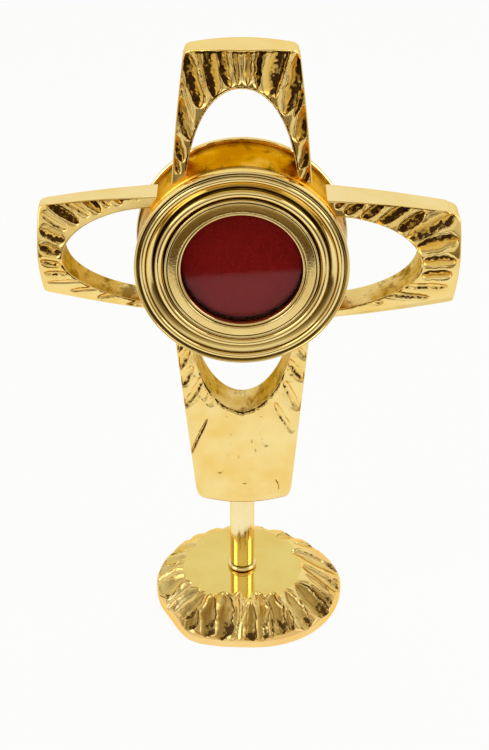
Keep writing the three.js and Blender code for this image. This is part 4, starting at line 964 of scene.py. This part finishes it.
def retainer_piece():
    radius = (retainer_high[0] - retainer_low[0]) / 2
    front, back = retainer_low[1], retainer_high[1]
    inside, edge = radius - 1.3, 0.2
    profile = [(inside, front), (radius, front), (radius, back - edge), (radius - edge, back)]
    profile += [(inside + edge, back), (inside, back - edge)]
    # Painted shade: the retainer takes the near-black red painted-shade gilt
    return turned("glass_ring", profile, [RETAINER_PAINTED_SHADE], steps=128)


settle(retainer_piece(), "frame", "gilt_matt", "glass_retainer")


def capsule_piece():
    """The spun metal capsule: a flange in front, a straight wall and a rounded back edge."""
    flange = (capsule_high[0] - capsule_low[0]) / 2
    front, back = capsule_low[1], capsule_high[1]
    outside, sheet, fold = 20.9, 0.9, 0.8
    inside = outside - sheet
    profile = [(inside, front), (flange - 0.2, front), (flange, front + 0.2), (flange, front + sheet - 0.2)]
    profile += [(flange - 0.2, front + sheet), (outside, front + sheet)]
    profile += arc((outside - fold, back - fold), fold, 0, 90, 7)
    profile += [(0, back), (0, back - sheet), (inside, back - sheet)]
    return turned("capsule", profile, [BRUSHED], steps=160, sharp=50)


settle(capsule_piece(), "frame", "gilt_matt", "relic_capsule")


CUSHION_NECK = 18.45


def cushion_piece():
    """The velvet pad: a softly crowned face that rolls over at its rim into the capsule."""
    outer = (cushion_high[0] - cushion_low[0]) / 2
    front, back = cushion_low[1], cushion_high[1]
    neck = CUSHION_NECK
    profile = [(0, front), (5, front), (10, front + 0.03), (14, front + 0.06), (16.6, front + 0.12)]
    profile += [(17.8, front + 0.22), (18.3, front + 0.5), (neck, front + 1.0), (neck, front + 2.0)]
    profile += [(18.8, front + 2.3), (outer, front + 3.0), (outer, back - 0.6)]
    profile += [(outer - 0.6, back), (0, back)]
    return turned("velvet_bed", profile, [VELVET], steps=160, sharp=80)


bed = cushion_piece()
settle(bed, "frame", "velvet", "relic_cushion")


# Foot, collar and stem

def foot_radius(degrees):
    """Radius of the foot's outline, as a smooth curve through the listed points."""
    places = np.array(FOOT_OUTLINE, dtype=float)
    count = len(places)
    turns = np.concatenate([places[-2:, 0] - 360, places[:, 0], places[:2, 0] + 360])
    radii = np.concatenate([places[-2:, 1], places[:, 1], places[:2, 1]])
    at = np.clip(np.searchsorted(turns, degrees % 360, side="right") - 1, 1, count + 1)
    a0, a1, a2, a3 = (turns[at + k] for k in (-1, 0, 1, 2))
    r0, r1, r2, r3 = (radii[at + k] for k in (-1, 0, 1, 2))
    t = (degrees % 360 - a1) / (a2 - a1)
    slope1 = (r2 - r0) / (a2 - a0) * (a2 - a1)
    slope2 = (r3 - r1) / (a3 - a1) * (a2 - a1)
    blend = t * t * (3 - 2 * t)
    return r1 * (1 - blend) + r2 * blend + slope1 * t * (1 - t) ** 2 - slope2 * t * t * (1 - t)


def foot_piece(rounds=960):
    """The foot: a polished flat middle, a rim of radial scoops and a smooth upright band."""
    grid = noise_grid(41)
    degrees = np.linspace(-180, 180, rounds, endpoint=False)
    turn = np.radians(degrees)[:, None]
    edge = foot_radius(degrees)[:, None] - FOOT_INSET
    shoulder = edge - FOOT_LEAN
    middle = np.linspace(ROD_HOLE, FOOT_PLAIN_RADIUS, 4)
    slope_steps = np.linspace(0, 1, FOOT_SLOPE_STEPS)
    lean_steps = np.linspace(0, 1, FOOT_LEAN_STEPS)[1:]
    radius = np.concatenate([
        np.broadcast_to(middle, (rounds, len(middle))),
        mix(FOOT_PLAIN_RADIUS + 0.4, shoulder, slope_steps),
        mix(shoulder, edge, lean_steps),
    ], 1)
    along, across = radius * np.cos(turn), radius * np.sin(turn)
    depth, gouge, rough = gouge_field(FOOT_SCOOPS, along, across, grid, scooped=True)
    drop = BASE_HEIGHT - mix(FOOT_SHOULDER_FRONT, FOOT_SHOULDER_BACK, (1 - np.cos(turn)) / 2)
    rim_part = np.maximum(radius - FOOT_TOP_RADIUS, 0) / (shoulder - FOOT_TOP_RADIUS)
    rolling = BASE_HEIGHT - drop * rim_part ** FOOT_ROLL
    at_edge = BASE_HEIGHT - drop * ((edge - FOOT_TOP_RADIUS) / (shoulder - FOOT_TOP_RADIUS)) ** FOOT_ROLL
    past = np.maximum(radius - shoulder, 0) / FOOT_LEAN
    whole = rolling - (at_edge - FOOT_BAND) * past ** 2
    grain = 0.12 * smooth_noise(grid, along * 1.6, across * 1.6)
    grain = grain + 0.08 * smooth_noise(grid, along * 3.1, across * 3.1)
    sill = FOOT_SILL + 0.35 * smooth_noise(grid, np.degrees(turn) * 0.21, np.zeros_like(turn))
    floor = np.maximum(rolling - depth + grain * rough * gouge, sill)
    height = np.minimum(whole, floor)
    shown = np.clip((whole - floor) / 0.12, 0, 1)
    gouge, rough = gouge * shown, rough * shown

    wall_steps = np.array([0.75, 0.5, 0.25])
    wall_z = mix(FOOT_CHAMFER, height[:, -1:], wall_steps)
    chamfer = FOOT_CHAMFER * (1 - np.cos(np.linspace(0, math.pi / 2, 5)))
    chamfer_z = FOOT_CHAMFER * (1 - np.sin(np.linspace(0, math.pi / 2, 5)))
    inside = edge - FOOT_CHAMFER - FOOT_WALL
    rs = np.concatenate([
        radius, np.repeat(edge, len(wall_steps), 1), edge - chamfer, inside, inside - 0.3,
        np.broadcast_to([FOOT_HOLLOW_TOP_RADIUS, ROD_HOLE], (rounds, 2)),
    ], 1)
    zs = np.concatenate([
        height, wall_z, np.broadcast_to(chamfer_z, (rounds, 5)), np.broadcast_to([0, 0.3], (rounds, 2)),
        np.full((rounds, 2), FOOT_HOLLOW_TOP),
    ], 1)
    columns = rs.shape[1]
    points = np.stack([rs * np.sin(turn), -rs * np.cos(turn), zs], -1).reshape(-1, 3)
    faces = grid_quads(rounds, columns, wrap_rows=True, wrap_columns=True)
    kinds = np.full((rounds, columns), 1)
    kinds[:, :len(middle) - 1] = 2
    kinds[:, len(middle) - 1:radius.shape[1] - 1] = 0
    flat = (radius[:, :-1] < FOOT_TOP_RADIUS) & (gouge[:, :-1] < 0.02) & (gouge[:, 1:] < 0.02)
    kinds[:, :radius.shape[1] - 1][flat] = 2
    smooth_edge = (gouge[:, :-1] < 0.02) & (gouge[:, 1:] < 0.02) & (radius[:, :-1] > 0.86 * shoulder)
    kinds[:, :radius.shape[1] - 1][smooth_edge] = 1
    piece = mesh_piece("foot", points, faces.tolist(), [SCOOPED, WARM, MIRROR], kinds.ravel())
    add_front_shares(piece, columns, gouge, rough)
    outward(piece)
    soften(piece, 55)
    return piece


settle(foot_piece(), "frame", "gilt_brass", "base")


def collar_piece():
    radius = (collar_high[0] - collar_low[0]) / 2
    low, high = collar_low[2], collar_high[2]
    half = (high - low) / 2
    profile = [(ROD_HOLE, low), (radius - half, low)]
    profile += arc((radius - half, low + half), half, -80, 80, 13)
    profile += [(radius - half, high), (ROD_HOLE, high)]
    return turned("bead_collar", profile, [POLISHED], "Z", (0, 0, 0), steps=96, sharp=50)


settle(collar_piece(), "frame", "gilt_brass", "stem_collar")


def stem_piece():
    radius = (stem_high[0] - stem_low[0]) / 2
    low, high = stem_low[2], stem_high[2]
    profile = [(ROD_HOLE, low), (radius - 0.25, low), (radius, low + 0.25)]
    profile += [(radius, mix(low, high, k / 8)) for k in range(1, 8)]
    profile += [(radius, high - 0.2), (radius - 0.2, high), (ROD_HOLE, high)]
    return turned("stem", profile, [POLISHED], "Z", (0, 0, 0), steps=128)


settle(stem_piece(), "frame", "gilt_brass", "stem_tube")


# Door, hinge and catch

def lug(name, from_x, to_x, outline):
    """A hinge knuckle with the arm that carries it, as an outline in Y and Z with a hole for the pin."""
    loops = [[(x, y, z) for y, z in outline] for x in (from_x, to_x)]
    piece = lofted(name, loops, [POLISHED])
    round_edges(piece, 0.25)
    drill(piece, PIN_HOLE, from_x - 1, to_x + 1, "X", PIN_CENTRE)
    soften(piece, 35)
    return piece


def drum_lug(name, from_x, to_x):
    front, top = DRUM_BACK - 4.2, AXIS_Z - DRUM_RADIUS + 1.6
    outline = [(front, top), (front, PIN_Z + 1.2)]
    outline += [(front + 0.5, PIN_Z + 0.2), (front + 1.4, PIN_Z - 0.6)]
    outline += arc((PIN_Y, PIN_Z), KNUCKLE_RADIUS, 205, 455, 26)
    outline += [(DRUM_BACK, top)]
    return lug(name, from_x, to_x, outline)


inner_x, outer_x = DRUM_KNUCKLE
settle(drum_lug("knuckle_left", -outer_x, -inner_x), "frame", "gilt_brass", "cross_body")
settle(drum_lug("knuckle_right", inner_x, outer_x), "frame", "gilt_brass", "cross_body")


def door_piece():
    """The back door: a turned disc with a step that centres it in the drum, and its hinge knuckle."""
    profile = [(0, DOOR_STEP_FRONT), (DOOR_STEP_RADIUS - 0.2, DOOR_STEP_FRONT)]
    profile += [(DOOR_STEP_RADIUS, DOOR_STEP_FRONT + 0.2), (DOOR_STEP_RADIUS, DOOR_FRONT)]
    profile += [(DOOR_RADIUS - 0.3, DOOR_FRONT), (DOOR_RADIUS, DOOR_FRONT + 0.3)]
    profile += arc((DOOR_RADIUS - DOOR_EDGE, DOOR_BACK - DOOR_EDGE), DOOR_EDGE, 0, 90, 7)
    profile += [(DOOR_RADIUS - 2.4, DOOR_BACK), (DOOR_RADIUS - 2.6, DOOR_BACK - 0.12)]
    profile += [(DOOR_RADIUS - 2.8, DOOR_BACK), (0, DOOR_BACK)]
    piece = turned("door", profile, [POLISHED], steps=192, sharp=30)
    top = AXIS_Z - DOOR_RADIUS + 1
    back = PIN_Y + KNUCKLE_RADIUS
    outline = [(DOOR_FRONT, top)] + arc((PIN_Y, PIN_Z), KNUCKLE_RADIUS, 86, 360, 28) + [(back, top)]
    loops = [[(x, y, z) for y, z in outline] for x in (-DOOR_KNUCKLE_HALF, DOOR_KNUCKLE_HALF)]
    tab = lofted("tab", loops, [POLISHED])
    round_edges(tab, 0.25)
    combine(piece, tab, "UNION")
    reach = DOOR_KNUCKLE_HALF + 1
    drill(piece, PIN_HOLE, -reach, reach, "X", PIN_CENTRE)
    drill(piece, SHAFT_HOLE, DOOR_STEP_FRONT - 1, DOOR_BACK + 1, centre=(0, 0, CATCH_Z))
    soften(piece, 30)
    return piece


settle(door_piece(), "door", "gilt_brass", "back_door")


def pin_piece():
    """The hinge pin, with a rounded head at each end."""
    head = pin_high[0]
    neck = head - PIN_HEAD_LENGTH
    half = [(PIN_RADIUS, neck), (PIN_HEAD_RADIUS - 0.2, neck), (PIN_HEAD_RADIUS, neck + 0.2)]
    half += [(PIN_HEAD_RADIUS - 0.1, neck + 0.5), (PIN_HEAD_RADIUS - 0.5, head - 0.06), (0, head)]
    profile = [(radius, -x) for radius, x in half[::-1]] + half
    return turned("pin", profile, [STEEL], "X", PIN_CENTRE, steps=48)


settle(pin_piece(), "frame", "steel", "hinge_pin")


def knob_piece():
    """The turn catch's knob: a flat wing on a round collar and a shaft."""
    front, back = knob_low[1], knob_high[1]
    half_length, half_width = (knob_high[0] - knob_low[0]) / 2, 1.8
    wing_front = back - 3.0
    collar_front = wing_front - 1.0
    profile = [(0.9, front), (1.5, front), (1.5, collar_front), (2.8, collar_front)]
    profile += [(3.0, collar_front + 0.2), (3.0, wing_front - 0.2), (2.8, wing_front), (0, wing_front)]
    profile += [(0, front + 3), (0.9, front + 3)]
    piece = turned("knob", profile, [POLISHED], centre=(0, 0, CATCH_Z), steps=64, sharp=30)
    rounding = 0.8
    levels = [(wing_front - 0.4, 0), (back - rounding, 0)]
    levels += [(back - rounding + y, rounding - inset) for inset, y in arc((0, 0), rounding, 0, 80, 6)[1:]]
    loops = []
    for y, inset in levels:
        outline = arc((half_length - half_width, 0), half_width - inset, -90, 90, 16)
        outline += arc((half_width - half_length, 0), half_width - inset, 90, 270, 16)
        loops.append([(x, y, CATCH_Z + z) for x, z in outline])
    combine(piece, lofted("wing", loops, [POLISHED]), "UNION")
    soften(piece, 32)
    return piece


settle(knob_piece(), "catch", "gilt_brass", "catch_knob")


# Finishes of the nodes that keep their own solids

SCREWS = ["ring_screw_1", "ring_screw_2", "ring_screw_3"]
for node in ["base_washer", "base_nut", "tie_rod", *SCREWS, "capsule_clip", "catch_screw", "catch_tongue"]:
    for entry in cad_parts[node].material_slots:
        entry.material = BRUSHED if node == "catch_tongue" else STEEL


# Camera, from the photograph's perspective

LENS = 72.0
SENSOR = 36.0
CAMERA_PLACE = np.array([0.8, -409.4, AXIS_Z + 212.0])
CAMERA_PITCH = 32.1  # degrees below level

camera_data = bpy.data.cameras.new("camera")
camera_data.lens = LENS
camera_data.sensor_width = SENSOR
camera = bpy.data.objects.new("camera", camera_data)
camera.location = (CAMERA_PLACE + ORIGIN) * MM
camera.rotation_euler = (math.radians(90 - CAMERA_PITCH), 0, 0)
bpy.context.scene.collection.objects.link(camera)
bpy.context.scene.camera = camera


# Floor, lights and surroundings

FLOOR_SEEN = 0.93  # how white the camera sees it
FLOOR_DIM = 0.84  # how bright polished parts mirror it far away
FLOOR_DIM_FROM = 0.11
FLOOR_DIM_TO = 0.30


def floor_piece():
    """A pale table top that ends a short way in front of the object."""
    front, slant, back, half = -251.5, 178, 1500, 1200
    points = [(-half, front + slant, 0), (half, front - slant, 0), (half, back, 0), (-half, back, 0)]
    material, tree, shader = new_material("pale_floor")
    set_inputs(shader, Base_Color=(0.88, 0.88, 0.87, 1), Roughness=0.7)
    bright = tree.nodes.new("ShaderNodeEmission")
    path = tree.nodes.new("ShaderNodeLightPath")
    place = tree.nodes.new("ShaderNodeTexCoord")
    away = tree.nodes.new("ShaderNodeVectorMath")
    away.operation = "LENGTH"
    tree.links.new(place.outputs["Object"], away.inputs[0])
    # Painted light: in what polished parts and glass mirror, the floor glows brightest near the object and
    # dimmer further out
    dimmer = add_range(tree, away.outputs["Value"], 1.0, FLOOR_DIM, FLOOR_DIM_FROM, FLOOR_DIM_TO)
    mirrored = add_math(
        tree, "MAXIMUM", path.outputs["Is Glossy Ray"], path.outputs["Is Transmission Ray"],
    )
    tree.links.new(mix_colour(tree, mirrored, (1.0, 1.0, 1.0), dimmer), bright.inputs["Color"])
    seen = add_math(tree, "MULTIPLY", path.outputs["Is Camera Ray"], FLOOR_SEEN)
    amount = add_math(tree, "MAXIMUM", seen, mirrored)
    blend = tree.nodes.new("ShaderNodeMixShader")
    tree.links.new(amount, blend.inputs["Fac"])
    tree.links.new(shader.outputs["BSDF"], blend.inputs[1])
    tree.links.new(bright.outputs["Emission"], blend.inputs[2])
    tree.links.new(blend.outputs["Shader"], tree.nodes["Material Output"].inputs["Surface"])
    return mesh_piece("floor", points, [[0, 1, 2, 3]], [material])


floor_piece()


def area_light(name, place, target, size, power):
    data = bpy.data.lights.new(name, "AREA")
    data.shape = "RECTANGLE"
    data.size, data.size_y = size[0] * MM, size[1] * MM
    data.energy = power
    lamp = bpy.data.objects.new(name, data)
    lamp.location = Vector(place) * MM
    aim = (Vector(target) - Vector(place)).normalized()
    lamp.rotation_euler = aim.to_track_quat("-Z", "Y").to_euler()
    bpy.context.scene.collection.objects.link(lamp)


area_light("soft_left", (-620, -260, 520), (0, 0, 100), (420, 520), 1.2)
area_light("soft_right", (620, -120, 480), (0, 0, 100), (420, 520), 1.2)
area_light("soft_top", (0, 80, 760), (0, 0, 80), (900, 900), 0.9)


# Brightness of the room round the X axis: degrees up from the front, over the top to the back
ROOM_LEVELS = [
    (-180, 0.95), (-60, 0.9), (-29, 0.8), (-28.2, 0.05), (-24, 0.10), (-8, 0.22), (4, 0.5), (14, 0.85),
    (48, 0.8), (60, 0.12), (92, 0.14), (116, 0.45), (130, 0.92), (180, 0.95),
]
ROOM_SIDE = 0.72


def surroundings():
    """A white room behind and above, and a dimmer one in front, beyond the table's edge."""
    world = bpy.data.worlds.new("room")
    bpy.context.scene.world = world
    world.use_nodes = True
    tree = world.node_tree
    background = tree.nodes["Background"]
    coordinates = tree.nodes.new("ShaderNodeTexCoord")
    split = tree.nodes.new("ShaderNodeSeparateXYZ")
    tree.links.new(coordinates.outputs["Generated"], split.inputs[0])
    forwards = add_math(tree, "MULTIPLY", split.outputs["Y"], -1.0)
    upward = add_math(tree, "ARCTAN2", split.outputs["Z"], forwards)
    turn = add_range(tree, upward, 0, 1, -math.pi, math.pi)
    stops = [(0.5 + degrees / 360, (level, level ** 1.2, level ** 1.7)) for degrees, level in ROOM_LEVELS]
    level = add_ramp(tree, turn, stops)
    sideways = add_math(tree, "ABSOLUTE", split.outputs["X"], 0.0)
    aside = add_range(tree, sideways, 0, 1, 0.5, 0.95)
    level = mix_colour(tree, aside, level, (ROOM_SIDE, ROOM_SIDE, ROOM_SIDE))
    path = tree.nodes.new("ShaderNodeLightPath")
    colour = mix_colour(tree, path.outputs["Is Camera Ray"], level, (1.0, 1.0, 1.0))
    tree.links.new(colour, background.inputs["Color"])
    background.inputs["Strength"].default_value = 1.0


surroundings()
bpy.context.scene.view_settings.view_transform = "Standard"
